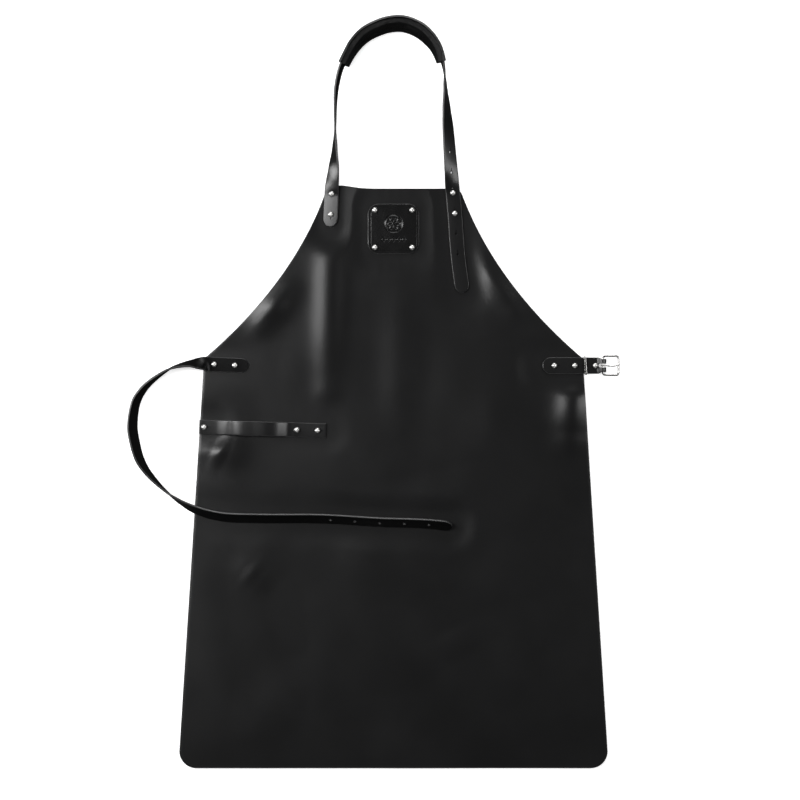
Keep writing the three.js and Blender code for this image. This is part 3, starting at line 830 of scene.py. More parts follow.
NECK_ROUTE = Route([(x, BIB + above, lift, roll) for x, above, lift, roll in NECK_STATIONS])
WAIST_ROUTE = Route([
    (inward - side_at(WAIST + above), WAIST + above, lift, roll)
    for inward, above, lift, roll in WAIST_STATIONS])
TOWEL_ROUTE = Route([
    (distance * math.cos(TOWEL_TILT) - side_at(TOWEL_Y) - 0.001,
     TOWEL_Y + distance * math.sin(TOWEL_TILT), STRAP_BASE + rise * TOWEL_RISE, 0)
    for distance, rise in TOWEL_STATIONS])

NECK_SITES = [NECK_ROUTE.place(NECK_HOLES[i]) for i in NECK_STUDDED]
NECK_SITES += [
    NECK_ROUTE.place(NECK_ROUTE.length - NECK_STUD_FROM_END - gap) for gap in (STUD_PITCH, 0)]
WAIST_SITES = [WAIST_ROUTE.place(WAIST_STUD_FROM_END + gap) for gap in (0, STUD_PITCH)]
TOWEL_SITES = [TOWEL_ROUTE.place(TOWEL_STUD_FROM_SIDE)]
TOWEL_SITES += [
    TOWEL_ROUTE.place(TOWEL_LENGTH - TOWEL_STUD_FROM_END - gap) for gap in (STUD_PITCH, 0)]
STUD_Z = (STRAP_BASE + STRAP_TOP) / 2
TAB_SITES = [
    flat_place(TAB_END + TAB_STUD_FROM_END + i * STUD_PITCH, TAB_Y, STUD_Z, 0)
    for i in range(3)]
PATCH_SITES = [
    flat_place(right * PATCH_STUD_OUT, PATCH_Y + up * PATCH_STUD_OUT, STUD_Z,
               math.atan2(-up, -right))
    for right, up in ((-1, 1), (1, 1), (-1, -1), (1, -1))]
STUD_GROUPS = {
    "neck": (NECK_SITES, [
        "neck_buckle_side_stud_1", "neck_buckle_side_stud_2",
        "neck_far_side_stud_1", "neck_far_side_stud_2"]),
    "waist": (WAIST_SITES, ["waist_stud_1", "waist_stud_2"]),
    "towel": (TOWEL_SITES, ["towel_stud_1", "towel_stud_2", "towel_stud_3"]),
    "buckle": (TAB_SITES, ["buckle_stud_1", "buckle_stud_2", "buckle_stud_3"]),
    "patch": (PATCH_SITES, [
        "patch_stud_1", "patch_stud_2", "patch_stud_3", "patch_stud_4"]),
}


def keyholes(sites):
    return [keyhole(place, STUD_HOLE, STUD_SLIT) for place in sites]


def stud_pocket(place, through=0.0062):
    """The stepped hole in a back layer for a screw head, a barrel and a flange."""
    x, y, _ = place.translation
    profile = [
        (0, -0.001), (0.0041, -0.001), (0.0041, 0.001), (0.0023, 0.001), (0.0023, 0.0019),
        (0.0039, 0.0019), (0.0039, through), (0, through)]
    return turned_shape(profile, 24, (x, y, 0))


def settle(piece, body, slot, *nodes):
    """Makes a finished piece ride on its body and stand for its CAD nodes."""
    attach(piece, body)
    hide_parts(*nodes)
    return piece


# ------------------------------------------------------------------ the panel


def panel_half_outline():
    """(half width, y) pairs up one side of the panel, from the hem to the bib."""
    rows = []
    corner = HEM_WIDTH / 2 - HEM_CORNER
    for i in range(13):
        angle = -math.pi / 2 + math.pi / 2 * i / 12
        rows.append((corner + HEM_CORNER * math.cos(angle),
                     HEM + HEM_CORNER + HEM_CORNER * math.sin(angle)))
    rows.append((side_at(WAIST - WAIST_CORNER), WAIST - WAIST_CORNER))
    drop, reach = BIB - WAIST, (WAIST_WIDTH - BIB_WIDTH) / 2
    curves = (
        ((WAIST_WIDTH / 2, WAIST + WAIST_CORNER * 0.3),
         (WAIST_WIDTH / 2 - WAIST_CORNER, WAIST + WAIST_CORNER), 6),
        ((BIB_WIDTH / 2 + reach * ARMHOLE_BOW_ACROSS, BIB - drop * ARMHOLE_BOW_DOWN),
         (BIB_WIDTH / 2, BIB - BIB_CORNER), 30),
        ((BIB_WIDTH / 2 - 0.004, BIB), (BIB_WIDTH / 2 - BIB_CORNER, BIB), 10),
    )
    for control, end, steps in curves:
        start = rows[-1]
        for i in range(1, steps + 1):
            t = i / steps
            rows.append(tuple(
                (1 - t) ** 2 * start[k] + 2 * t * (1 - t) * control[k] + t * t * end[k]
                for k in range(2)))
    return rows


def resting_places():
    """Points of the panel that something lies on, with how far round them it stays flat."""
    places = []
    neck, waist = NECK_ROUTE.length, WAIST_ROUTE.length
    for route, start, end, step, reach in (
            (NECK_ROUTE, 0, 0.16, 0.012, 0.016),
            (NECK_ROUTE, neck - 0.06, neck, 0.012, 0.016),
            (WAIST_ROUTE, 0, 0.07, 0.012, 0.016),
            (WAIST_ROUTE, waist - 0.40, waist, 0.012, 0.016),
            (TOWEL_ROUTE, 0, 0.03, 0.01, 0.014),
            (TOWEL_ROUTE, 0.125, TOWEL_LENGTH, 0.01, 0.014)):
        for point in route.centre(np.arange(start, end, step)):
            places.append((point[0], point[1], reach))
    for x in np.arange(TAB_END, WAIST_WIDTH / 2 + 0.005, 0.01):
        places.append((x, TAB_Y, 0.017))
    across_patch = np.arange(-0.03, 0.031, 0.015)
    places += [(x, PATCH_Y + y, 0.014) for x in across_patch for y in across_patch]
    return np.array(places)


# The neck strap's fixed end pulls up the bib's edge: height, place, half width, reach
BIB_PULL, BIB_PULL_X, BIB_PULL_HALF, BIB_PULL_DEPTH = 0.0045, -0.078, 0.024, 0.09

# Folds left from hanging and carrying: (start x, start y, end x, end y, half width, height)
PANEL_FOLDS = [
    (-0.090, 0.400, -0.097, 0.130, 0.020, 1.00),
    (0.006, 0.300, 0.008, 0.030, 0.026, 0.40),
    (-0.192, 0.228, -0.158, 0.272, 0.018, 1.35),
    (0.264, 0.145, 0.258, 0.060, 0.023, 1.75),
    (0.176, 0.250, 0.127, 0.314, 0.018, 0.95),
    (-0.262, 0.050, -0.240, 0.040, 0.022, 1.50),
    (-0.216, -0.132, -0.200, -0.146, 0.018, 0.35),
    (0.090, -0.060, 0.075, 0.020, 0.050, 0.35),
    (0.085, -0.215, 0.110, -0.260, 0.040, 0.35),
    (-0.245, -0.330, -0.120, -0.350, 0.060, 0.40),
    (0.210, -0.160, 0.240, -0.330, 0.060, 0.45),
    (0.020, -0.330, 0.030, -0.150, 0.080, 0.35),
]


def panel_height(points):
    """How far the panel lifts off the floor at rows of (x, y): soft folds and slow waves."""
    height = np.zeros(len(points))
    for x0, y0, x1, y1, half, share in PANEL_FOLDS:
        start, run = np.array((x0, y0)), np.array((x1 - x0, y1 - y0))
        along = np.clip((points - start) @ run / (run @ run), 0, 1)
        gap = np.linalg.norm(points - start - along[:, None] * run, axis=1)
        ends = 0.35 + 0.65 * np.sin(math.pi * np.clip(along, 0.08, 0.92))
        height += share * ends * np.exp(-(gap / half) ** 2)
    waves = np.array([
        noise.noise(Vector((x * 6.5, y * 4.2, 1.7))) * 0.55
        + noise.noise(Vector((x * 17, y * 13, 6.1))) * 0.16 for x, y in points])
    height = np.maximum(height + waves + 0.28, 0)
    flat = np.ones(len(points))
    for x, y, reach in resting_places():
        gap = np.hypot(points[:, 0] - x, points[:, 1] - y)
        share = np.clip((gap - reach) / 0.028, 0, 1)
        flat = np.minimum(flat, share * share * (3 - 2 * share))
    return height * flat * bpy.context.scene.apron_sizes.undulation


def bib_lift(x, y):
    """How far the bib's top edge is pulled up beside the neck strap's fixed end."""
    near_top = min(max((y - BIB + BIB_PULL_DEPTH) / BIB_PULL_DEPTH, 0), 1)
    beside = math.exp(-((x - BIB_PULL_X) / BIB_PULL_HALF) ** 2)
    return BIB_PULL * near_top ** 2 * beside


class APRON_OT_panel(bpy.types.Operator):
    """The apron's one sheet of thick leather, softly creased, with pockets for the stud screws"""
    bl_idname = "apron.panel"
    bl_label = "Panel"

    def execute(self, context):
        sizes = context.scene.apron_sizes
        rounding = sizes.edge_rounding
        outline = panel_half_outline()
        rows = []
        for (w0, y0), (w1, y1) in zip(outline, outline[1:]):
            parts = max(1, round((y1 - y0) / sizes.panel_pitch))
            rows += [(w0 + (w1 - w0) * k / parts, y0 + (y1 - y0) * k / parts)
                     for k in range(parts)]
        rows.append(outline[-1])
        columns = round(HEM_WIDTH / sizes.panel_pitch)
        inset_low, inset_high = HEM + rounding, BIB - rounding
        grid = []
        for width, y in rows:
            y = inset_low + (y - HEM) / (BIB - HEM) * (inset_high - inset_low)
            for k in range(columns + 1):
                share = math.sin(math.pi / 2 * (2 * k / columns - 1)) * 0.25
                share += (2 * k / columns - 1) * 0.75
                x = share * (width - rounding)
                grid.append((x, y + bib_lift(x, y)))
        count, across = len(rows), columns + 1
        border = grid_border(count, across)
        flat = np.array(grid)
        loop = flat[border]
        outward = outward_steps(loop)
        lift = panel_height(flat)
        edge_lift = lift[border]
        points = [(x, y, PANEL_THICKNESS + z) for (x, y), z in zip(flat, lift)]
        quads = grid_faces(count, across)
        faces, kinds = list(quads), [GRAIN] * len(quads)
        loops = [border]
        for out, drop in ROUND_EDGE:
            loops.append(self.rim(points, loop + outward * rounding * out,
                                  PANEL_THICKNESS - rounding * drop + edge_lift))
        for out, rise in reversed(ROUND_EDGE):
            loops.append(self.rim(points, loop + outward * rounding * out,
                                  rounding * rise + edge_lift))
        under = len(points)
        points += [(x, y, z) for (x, y), z in zip(flat, lift)]
        faces += [tuple(under + i for i in reversed(quad)) for quad in quads]
        kinds += [FLESH] * len(quads)
        loops.append([under + i for i in border])
        sides = walls(loops)
        faces += sides
        kinds += [EDGE] * len(sides)
        panel = finished("apron_panel_leather", points, faces, leather("panel"), kinds)
        pockets = NECK_SITES + WAIST_SITES + TOWEL_SITES + TAB_SITES[:2] + PATCH_SITES
        carve(panel, [stud_pocket(place) for place in pockets])
        settle(panel, "root", "panel_leather", "apron_panel")
        flat_area = sum((w0 + w1) * (y1 - y0) for (w0, y0), (w1, y1) in zip(outline, outline[1:]))
        return {"FINISHED"}

    @staticmethod
    def rim(points, places, heights):
        first = len(points)
        points += [(x, y, z) for (x, y), z in zip(places, heights)]
        return list(range(first, len(points)))


# ------------------------------------------------------------------ the straps


class APRON_OT_waist_strap(bpy.types.Operator):
    """The long strap that goes round the waist, lying free from the panel's corner to its tip"""
    bl_idname = "apron.waist_strap"
    bl_label = "Waist strap"

    def execute(self, context):
        # Its grain material carries painted shade: the strap leather darkened to half, for its
        # tilted faces
        strap = strap_piece("waist_strap_leather", WAIST_ROUTE, STRAP_WIDTH, 0.0032,
                            wave=0.0002, seed=4, skin="belt_painted_shade")
        holes = [WAIST_ROUTE.place(WAIST_ROUTE.length - at) for at in WAIST_HOLES]
        carve(strap, keyholes(WAIST_SITES) + [keyhole(hole, WAIST_HOLE) for hole in holes])
        settle(strap, "root", "strap_leather", "waist_strap")
        return {"FINISHED"}


class APRON_OT_neck_strap(bpy.types.Operator):
    """The strap round the neck, studded to the bib at both ends, with spare holes in its tail"""
    bl_idname = "apron.neck_strap"
    bl_label = "Neck strap"

    def execute(self, context):
        strap = strap_piece("neck_strap_leather", NECK_ROUTE, STRAP_WIDTH, 0.003,
                            wave=0.0002, seed=9)
        spare = [NECK_ROUTE.place(at) for i, at in enumerate(NECK_HOLES) if i not in NECK_STUDDED]
        closed = [keyhole(place, SPARE_HOLE, STUD_SLIT) for place in spare]
        carve(strap, keyholes(NECK_SITES) + closed)
        settle(strap, "root", "strap_leather", "neck_strap")
        return {"FINISHED"}


class APRON_OT_towel_strap(bpy.types.Operator):
    """The short strap bowed up off the panel to hold a cloth"""
    bl_idname = "apron.towel_strap"
    bl_label = "Towel strap"

    def execute(self, context):
        strap = strap_piece("towel_strap_leather", TOWEL_ROUTE, STRAP_WIDTH, 0.0025,
                            False, False)
        carve(strap, keyholes(TOWEL_SITES))
        settle(strap, "root", "strap_leather", "towel_strap")
        return {"FINISHED"}


class APRON_OT_buckle_tab(bpy.types.Operator):
    """The short strap folded round the buckle's bar, with a slot for the prong"""
    bl_idname = "apron.buckle_tab"
    bl_label = "Buckle tab"

    def execute(self, context):
        front = STRAP_BASE + STRAP_THICKNESS / 2
        top = BAR_Z + FOLD_RADIUS
        line = [(TAB_END + (BAR_X - TAB_RISE - TAB_END) * i / 60, front) for i in range(60)]
        for i in range(13):
            share = i / 12
            line.append((BAR_X - TAB_RISE * (1 - share),
                         front + (top - front) * share * share * (3 - 2 * share)))
        for i in range(1, 21):
            angle = math.pi / 2 - math.pi * i / 20
            line.append((BAR_X + FOLD_RADIUS * math.cos(angle),
                         BAR_Z + FOLD_RADIUS * math.sin(angle)))
        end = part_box("strap_keeper")[0].x + TAB_PAST_KEEPER
        line += [(BAR_X + (end - BAR_X) * i / 12, BACK_LAYER) for i in range(1, 13)]
        bar_half = BUCKLE_WIDTH / 2 - BUCKLE_CORNER + WIRE_RADIUS

        def narrowing(centre):
            past = centre[0] - BAR_X + TAB_NARROWS_FROM
            share = min(max(past / TAB_NARROWS_OVER, 0), 1)
            return TAB_WIDTH / 2 + (bar_half - TAB_WIDTH / 2) * share

        tab = strap_piece("buckle_tab_leather", FoldRoute(line, TAB_Y), TAB_WIDTH, 0.0014,
                          True, False, narrowing=narrowing)
        for cutters in (keyholes(TAB_SITES), [self.prong_slot()],
                        [stud_pocket(TAB_SITES[2], BACK_LAYER * 2)]):
            carve(tab, cutters)
        settle(tab, "root", "strap_leather", "buckle_tab")
        return {"FINISHED"}

    @staticmethod
    def prong_slot():
        """An upright cutter with rounded ends, wide enough for the prong."""
        half, near, far = PRONG_SLOT_HALF, BAR_X - PRONG_SLOT_NEAR, BAR_X + PRONG_SLOT_FAR
        outline = [(far, -half), (far, half)]
        for i in range(13):
            angle = math.pi / 2 + math.pi * i / 12
            outline.append((near + half + half * math.cos(angle), half * math.sin(angle)))
        points = [(x, TAB_Y + y, z) for z in (-0.01, 0.02) for x, y in outline]
        return points, rings_to_faces(2, len(outline))


# ------------------------------------------------------------------ the neck pad


class APRON_OT_neck_pad(bpy.types.Operator):
    """The stuffed sleeve at the top of the neck strap: cover, foam, lining and stitching"""
    bl_idname = "apron.neck_pad"
    bl_label = "Neck pad"

    start, end = (NECK_ROUTE.length * part / PAD_PARTS for part in (PAD_START, PAD_END))

    def execute(self, context):
        self.make_cover()
        self.make_lining()
        self.make_foam()
        self.make_stitches(context.scene.apron_sizes)
        return {"FINISHED"}

    @staticmethod
    def bulge(u, rise):
        """Height of a layer off the strap's middle, u across it: hems meet, the middle is up."""
        hem, crown = PAD_WIDTH / 2 - PAD_HEM, STRAP_WIDTH / 2 + 0.0012
        share = min(max((hem - abs(u)) / (hem - crown), 0), 1)
        return PAD_LIP + (rise - PAD_LIP) * share * share * (3 - 2 * share)

    def layer(self, rise, side, along, shares, offset):
        """Points of a pad layer: rows along the strap, columns across it."""
        centre, across, face, _ = NECK_ROUTE.frames(along)
        grid = np.zeros((len(along), len(shares), 3))
        for j, share in enumerate(shares):
            u = share * PAD_WIDTH / 2
            out = np.array([self.bulge(u, rise) + offset(d, share) for d in along])
            grid[:, j] = centre + across * u + face * (side * out)[:, None]
        return grid

    def shell(self, name, inside, outside, materials, rounding):
        """A closed layer between two grids, its four rims rounded."""
        rows, columns = inside.shape[:2]
        points = [*outside.reshape(-1, 3), *inside.reshape(-1, 3)]
        lower = rows * columns
        faces = []
        for quad in grid_faces(rows, columns):
            faces += [quad, tuple(lower + k for k in reversed(quad))]
        kinds = [GRAIN, FLESH] * (len(faces) // 2)
        border = grid_border(rows, columns)
        sides = walls([border, [lower + a for a in border]])
        faces += sides
        kinds += [EDGE] * len(sides)
        piece = finished(name, points, faces, materials, kinds, 40)
        return bevel(piece, rounding)

    def make_cover(self):
        along = np.linspace(self.start, self.end, 90)
        shares = np.sin(np.linspace(-1, 1, 33) * math.pi / 2)
        rise = STRAP_THICKNESS / 2 + PAD_GAP

        def soft(d, share):
            wrinkle = noise.noise(Vector((d * 140, share * 2.5, 12)))
            return max(wrinkle, 0) * 0.0003 * (1 - share ** 4)

        inside = self.layer(rise, 1, along, shares, lambda d, share: 0)
        outside = self.layer(rise, 1, along, shares,
                             lambda d, share: PAD_COVER + soft(d, share))
        piece = self.shell("neck_pad_cover_leather", inside, outside, leather("pad"), 0.00045)
        settle(piece, "root", "pad_leather", "neck_pad_cover")

    def make_lining(self):
        """The lining is sewn on a little long, so it buckles and puffs inside the bend."""
        along = np.linspace(self.start, self.end, 150)
        shares = np.linspace(-1, 1, 31)
        rise = STRAP_THICKNESS / 2 + 2 * PAD_GAP + PAD_FOAM
        inside = self.layer(rise, -1, along, shares, lambda d, share: 0)
        puff = self.puffed(self.layer(rise, -1, along, shares, lambda d, share: PAD_LINING))
        piece = self.shell("neck_pad_lining_leather", inside, puff, leather("lining"), 0.0003)
        settle(piece, "root", "pad_lining", "neck_pad_lining")

    def puffed(self, grid):
        """The lining's outer face after its cloth has settled, sewn down at both hems."""
        cap = bpy.context.scene.apron_sizes.pad_puff
        rows, columns = grid.shape[:2]
        cloth_piece = finished(
            "lining_cloth", grid.reshape(-1, 3), grid_faces(rows, columns), [])
        sewn = cloth_piece.vertex_groups.new(name="sewn")
        hem = 3
        sewn.add([i * columns + j for i in range(rows) for j in range(columns)
                  if j < hem or j >= columns - hem], 1.0, "REPLACE")
        cloth = self.blown_cloth(cloth_piece, 6, 0.15, 1.2)
        settings = cloth.settings
        settings.vertex_group_mass = "sewn"
        settings.tension_stiffness = settings.compression_stiffness = 25
        settings.bending_stiffness = 0.15
        settings.shrink_min = -0.05
        moved = self.simulated(cloth_piece, cloth, 20).reshape(grid.shape)
        discard(cloth_piece)
        step = moved - grid
        outward = self.outward(grid)
        out = np.clip((step * outward).sum(2), -0.0002, cap)
        return grid + outward * out[..., None]

    @staticmethod
    def outward(grid):
        """Unit normals of a grid, away from the strap."""
        along, across = np.gradient(grid, axis=0), np.gradient(grid, axis=1)
        normal = np.cross(along, across)
        normal /= np.linalg.norm(normal, axis=2)[..., None]
        middle = grid.shape[1] // 2
        hems = (grid[:, 0] + grid[:, -1]) / 2
        sign = np.sign(((grid[:, middle] - hems) * normal[:, middle]).sum(1).mean())
        return normal * sign

    @staticmethod
    def blown_cloth(piece, quality, mass, pressure):
        """A weightless cloth on a piece, with pressure from inside."""
        cloth = piece.modifiers.new("cloth", "CLOTH")
        settings = cloth.settings
        settings.quality, settings.mass = quality, mass
        settings.use_pressure, settings.uniform_pressure_force = True, pressure
        settings.effector_weights.gravity = 0
        return cloth

    @staticmethod
    def simulated(piece, cloth, frames):
        """A piece's points after its cloth has run for some frames."""
        scene = bpy.context.scene
        cloth.point_cache.frame_start, cloth.point_cache.frame_end = 1, frames
        for step in range(1, frames + 1):
            scene.frame_set(step)
        depsgraph = bpy.context.evaluated_depsgraph_get()
        settled = piece.evaluated_get(depsgraph)
        places = np.zeros(len(settled.data.vertices) * 3)
        settled.data.vertices.foreach_get("co", places)
        scene.frame_set(1)
        return places.reshape(-1, 3)

    def make_foam(self):
        """Foam between strap and lining, cut slim and then swollen by its cloth."""
        margin = 0.006
        along = np.linspace(self.start + margin, self.end - margin, 70)
        centre, across, face, _ = NECK_ROUTE.frames(along)
        thick, wide = PAD_FOAM - 0.0012, STRAP_WIDTH / 2 - 0.001
        middle = -(STRAP_THICKNESS / 2 + PAD_GAP + PAD_FOAM / 2)
        outline = rounded_outline(2 * wide, thick, thick * 0.3, 3)
        points = [centre[i] + across[i] * u + face[i] * (v + middle)
                  for i in range(len(along)) for u, v in outline]
        foam = finished("neck_pad_foam_core", points,
                        rings_to_faces(len(along), len(outline)), [MATERIALS["foam"]])
        self.swell(foam, 0.0005)
        settle(foam, "root", "pad_foam", "neck_pad_foam")

    def swell(self, piece, cap):
        remesh = piece.modifiers.new("remesh", "REMESH")
        remesh.mode, remesh.voxel_size = "VOXEL", 0.0014
        applied(piece)
        rest = np.zeros(len(piece.data.vertices) * 3)
        piece.data.vertices.foreach_get("co", rest)
        rest = rest.reshape(-1, 3)
        cloth = self.blown_cloth(piece, 5, 0.2, 4)
        moved = self.simulated(piece, cloth, 20) - rest
        piece.modifiers.clear()
        reach = np.linalg.norm(moved, axis=1)
        held = np.minimum(1, cap / np.maximum(reach, 1e-9))
        piece.data.vertices.foreach_set("co", (rest + moved * held[:, None]).ravel())
        finer = piece.modifiers.new("finer", "SUBSURF")
        finer.levels = finer.render_levels = 1
        applied(piece)
        if not piece.data.materials:
            piece.data.materials.append(MATERIALS["foam"])
        smooth(piece.data, 180)

    def make_stitches(self, sizes):
        """Two rows of thread along the hems, sunk a little into the cover."""
        along = np.linspace(self.start + 0.003, self.end - 0.003, 160)
        centre, across, face, _ = NECK_ROUTE.frames(along)
        points, edges = [], []
        height = PAD_LIP + PAD_COVER + sizes.thread_radius * 0.35
        for side in (-1, 1):
            u = side * (PAD_WIDTH / 2 - PAD_HEM * 0.5)
            first = len(points)
            points += [tuple(row) for row in centre + across * u + face * height]
            edges += [(i, i + 1) for i in range(first, len(points) - 1)]
        mesh = bpy.data.meshes.new("hem_lines")
        mesh.from_pydata([tuple(map(float, point)) for point in points], edges, [])
        lines = bpy.data.objects.new("neck_pad_stitches", mesh)
        bpy.context.scene.collection.objects.link(lines)
        grow(lines, stitch_tree(), {
            "Pitch": sizes.stitch_pitch, "Length": sizes.stitch_length,
            "Thread": sizes.thread_radius, "Material": MATERIALS["thread"]})
        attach(lines, "root")


# ------------------------------------------------------------------ geometry node trees


class Garden:
    """A Geometry Nodes tree under construction, with its named inputs."""

    def __init__(self, name, inputs):
        self.tree = bpy.data.node_groups.new(name, "GeometryNodeTree")
        sockets = self.tree.interface
        sockets.new_socket("Geometry", in_out="OUTPUT", socket_type="NodeSocketGeometry")
        sockets.new_socket("Geometry", in_out="INPUT", socket_type="NodeSocketGeometry")
        for label, kind in inputs.items():
            sockets.new_socket(label, in_out="INPUT", socket_type="NodeSocket" + kind)
        self.start = self.tree.nodes.new("NodeGroupInput")
        self.end = self.tree.nodes.new("NodeGroupOutput")

    def input(self, label):
        return self.start.outputs[label]

    def node(self, kind, settings=None, inputs=None, output=0):
        made = self.tree.nodes.new(kind)
        for key, value in (settings or {}).items():
            setattr(made, key, value)
        for key, value in (inputs or {}).items():
            if isinstance(value, bpy.types.NodeSocket):
                self.tree.links.new(value, made.inputs[key])
            else:
                made.inputs[key].default_value = value
        return made.outputs[output]

    def maths(self, operation, a, b):
        return self.node("ShaderNodeMath", {"operation": operation}, {0: a, 1: b})

    def finish(self, instances, material):
        real = self.node("GeometryNodeRealizeInstances", None, {"Geometry": instances})
        shown = self.node("GeometryNodeSetMaterial", None, {
            "Geometry": real, "Material": material})
        self.tree.links.new(shown, self.end.inputs["Geometry"])
        return self.tree


def grow(piece, tree, values):
    """Runs a tree on a piece with the values of its named inputs, and keeps the mesh."""
    modifier = piece.modifiers.new(tree.name, "NODES")
    modifier.node_group = tree
    for item in tree.interface.items_tree:
        if item.item_type == "SOCKET" and item.in_out == "INPUT" and item.name in values:
            modifier[item.identifier] = values[item.name]
    return applied(piece)


def stitch_tree():
    """Thread stitches at a pitch along the piece's edges, each a long bead pinched at its ends.
    """
    garden = Garden("Stitches along lines", {
        "Pitch": "Float", "Length": "Float", "Thread": "Float", "Material": "Material"})
    curve = garden.node("GeometryNodeMeshToCurve", None, {0: garden.input("Geometry")})
    spaced = garden.node("GeometryNodeResampleCurve", {"mode": "LENGTH"}, {
        "Curve": curve, "Length": garden.input("Pitch")})
    tangent = garden.node("GeometryNodeInputTangent")
    turn = garden.node("FunctionNodeAlignRotationToVector", {"axis": "Z"}, {"Vector": tangent})
    bead = garden.node("GeometryNodeMeshUVSphere", None, {
        "Segments": 8, "Rings": 7, "Radius": 1.0})
    half = garden.maths("MULTIPLY", garden.input("Length"), 0.5)
    thread = garden.input("Thread")
    shape = garden.node("ShaderNodeCombineXYZ", None, {0: thread, 1: thread, 2: half})
    stitches = garden.node("GeometryNodeInstanceOnPoints", None, {
        "Points": spaced, "Instance": bead, "Rotation": turn, "Scale": shape})
    smooth_shade = garden.node("GeometryNodeSetShadeSmooth", None, {0: garden.node(
        "GeometryNodeRealizeInstances", None, {"Geometry": stitches})})
    return garden.finish(smooth_shade, garden.input("Material"))


def fitting_tree():
    """One turned fitting stood on each point, each turned its own way about Z."""
    garden = Garden("Fittings on points", {
        "Fitting": "Object", "Size": "Float", "Seed": "Int", "Material": "Material"})
    fitting = garden.node("GeometryNodeObjectInfo", None, {
        "Object": garden.input("Fitting")}, "Geometry")
    turn = garden.node("FunctionNodeRandomValue", {"data_type": "FLOAT"}, {
        2: 0.0, 3: 2 * math.pi, "Seed": garden.input("Seed")}, 1)
    spin = garden.node("ShaderNodeCombineXYZ", None, {2: turn})
    rotation = garden.node("FunctionNodeEulerToRotation", None, {0: spin})
    size = garden.input("Size")
    scale = garden.node("ShaderNodeCombineXYZ", None, {0: size, 1: size, 2: 1.0})
    stood = garden.node("GeometryNodeInstanceOnPoints", None, {
        "Points": garden.input("Geometry"), "Instance": fitting, "Rotation": rotation,
        "Scale": scale})
    return garden.finish(stood, garden.input("Material"))


# ------------------------------------------------------------------ studs, screws and patch


class APRON_OT_studs(bpy.types.Operator):
    """The ball studs that hold the straps and the patch, and the slotted screws behind them"""
    bl_idname = "apron.studs"
    bl_label = "Studs and screws"

    def execute(self, context):
        sizes = context.scene.apron_sizes
        stud, screw = self.stud(), self.screw()
        tree = fitting_tree()
        for seed, (group, (sites, nodes)) in enumerate(STUD_GROUPS.items()):
            spots = [(place.translation.x, place.translation.y, 0) for place in sites]
            self.stand(f"{group}_ball_studs", spots, tree, stud,
                       sizes.stud_radius / STUD_RADIUS, seed, nodes)
            self.stand(f"{group}_stud_screws", spots, tree, screw,
                       sizes.screw_radius / STUD_RADIUS, seed + 9,
                       [f"{node}_screw" for node in nodes])
        discard(stud, screw)
        return {"FINISHED"}

    @staticmethod
    def stand(name, spots, tree, fitting, size, seed, nodes):
        mesh = bpy.data.meshes.new(name)
        mesh.from_pydata(spots, [], [])
        piece = bpy.data.objects.new(name, mesh)
        bpy.context.scene.collection.objects.link(piece)
        grow(piece, tree, {"Fitting": fitting, "Size": size, "Seed": seed,
                           "Material": MATERIALS["nickel"]})
        smooth(piece.data, 35)
        settle(piece, "root", "stud_nickel", *nodes)

    @staticmethod
    def stud():
        """Ball, waist, shoulder flange and barrel, with the screw's bore up the middle."""
        neck, ball, half = 0.0022, STUD_RADIUS, 0.0032
        start = -math.acos(neck / ball)
        centre = STRAP_TOP + LEATHER_GAP - half * math.sin(start)
        profile = [(0, 0.0048), (0.0013, 0.0048), (0.0013, 0.00095), (0.0021, 0.00095),
                   (neck, 0.00105), (neck, 0.002), (0.0034, 0.002), (0.0036, 0.0021),
                   (0.0036, 0.0027), (0.0034, 0.0029), (neck, 0.0029)]
        for i in range(25):
            angle = start + (math.pi / 2 - start) * i / 24
            profile.append((ball * math.cos(angle), centre + half * math.sin(angle)))
        profile[-1] = (0, profile[-1][1])
        points, faces = turned_shape(profile, 40)
        return finished("ball_stud_shape", points, faces, [])

    @staticmethod
    def screw():
        """Low domed head with a slot, and its shank."""
        profile = [(0, 0.00002), (0.0022, 0.00006), (0.0036, 0.00022), (0.00395, 0.0004),
                   (STUD_RADIUS, 0.0006), (0.00385, 0.0008), (0.0011, 0.0008),
                   (0.0011, 0.0045), (0, 0.0045)]
        points, faces = turned_shape(profile, 40)
        shape = finished("stud_screw_shape", points, faces, [])
        reach, half = 0.006, 0.00045
        slot = [(x, y, z) for z in (-0.001, 0.0005) for x, y in (
            (-reach, -half), (reach, -half), (reach, half), (-reach, half))]
        shape.data.materials.append(MATERIALS["nickel"])
        return carve(shape, [(slot, rings_to_faces(2, 4))])


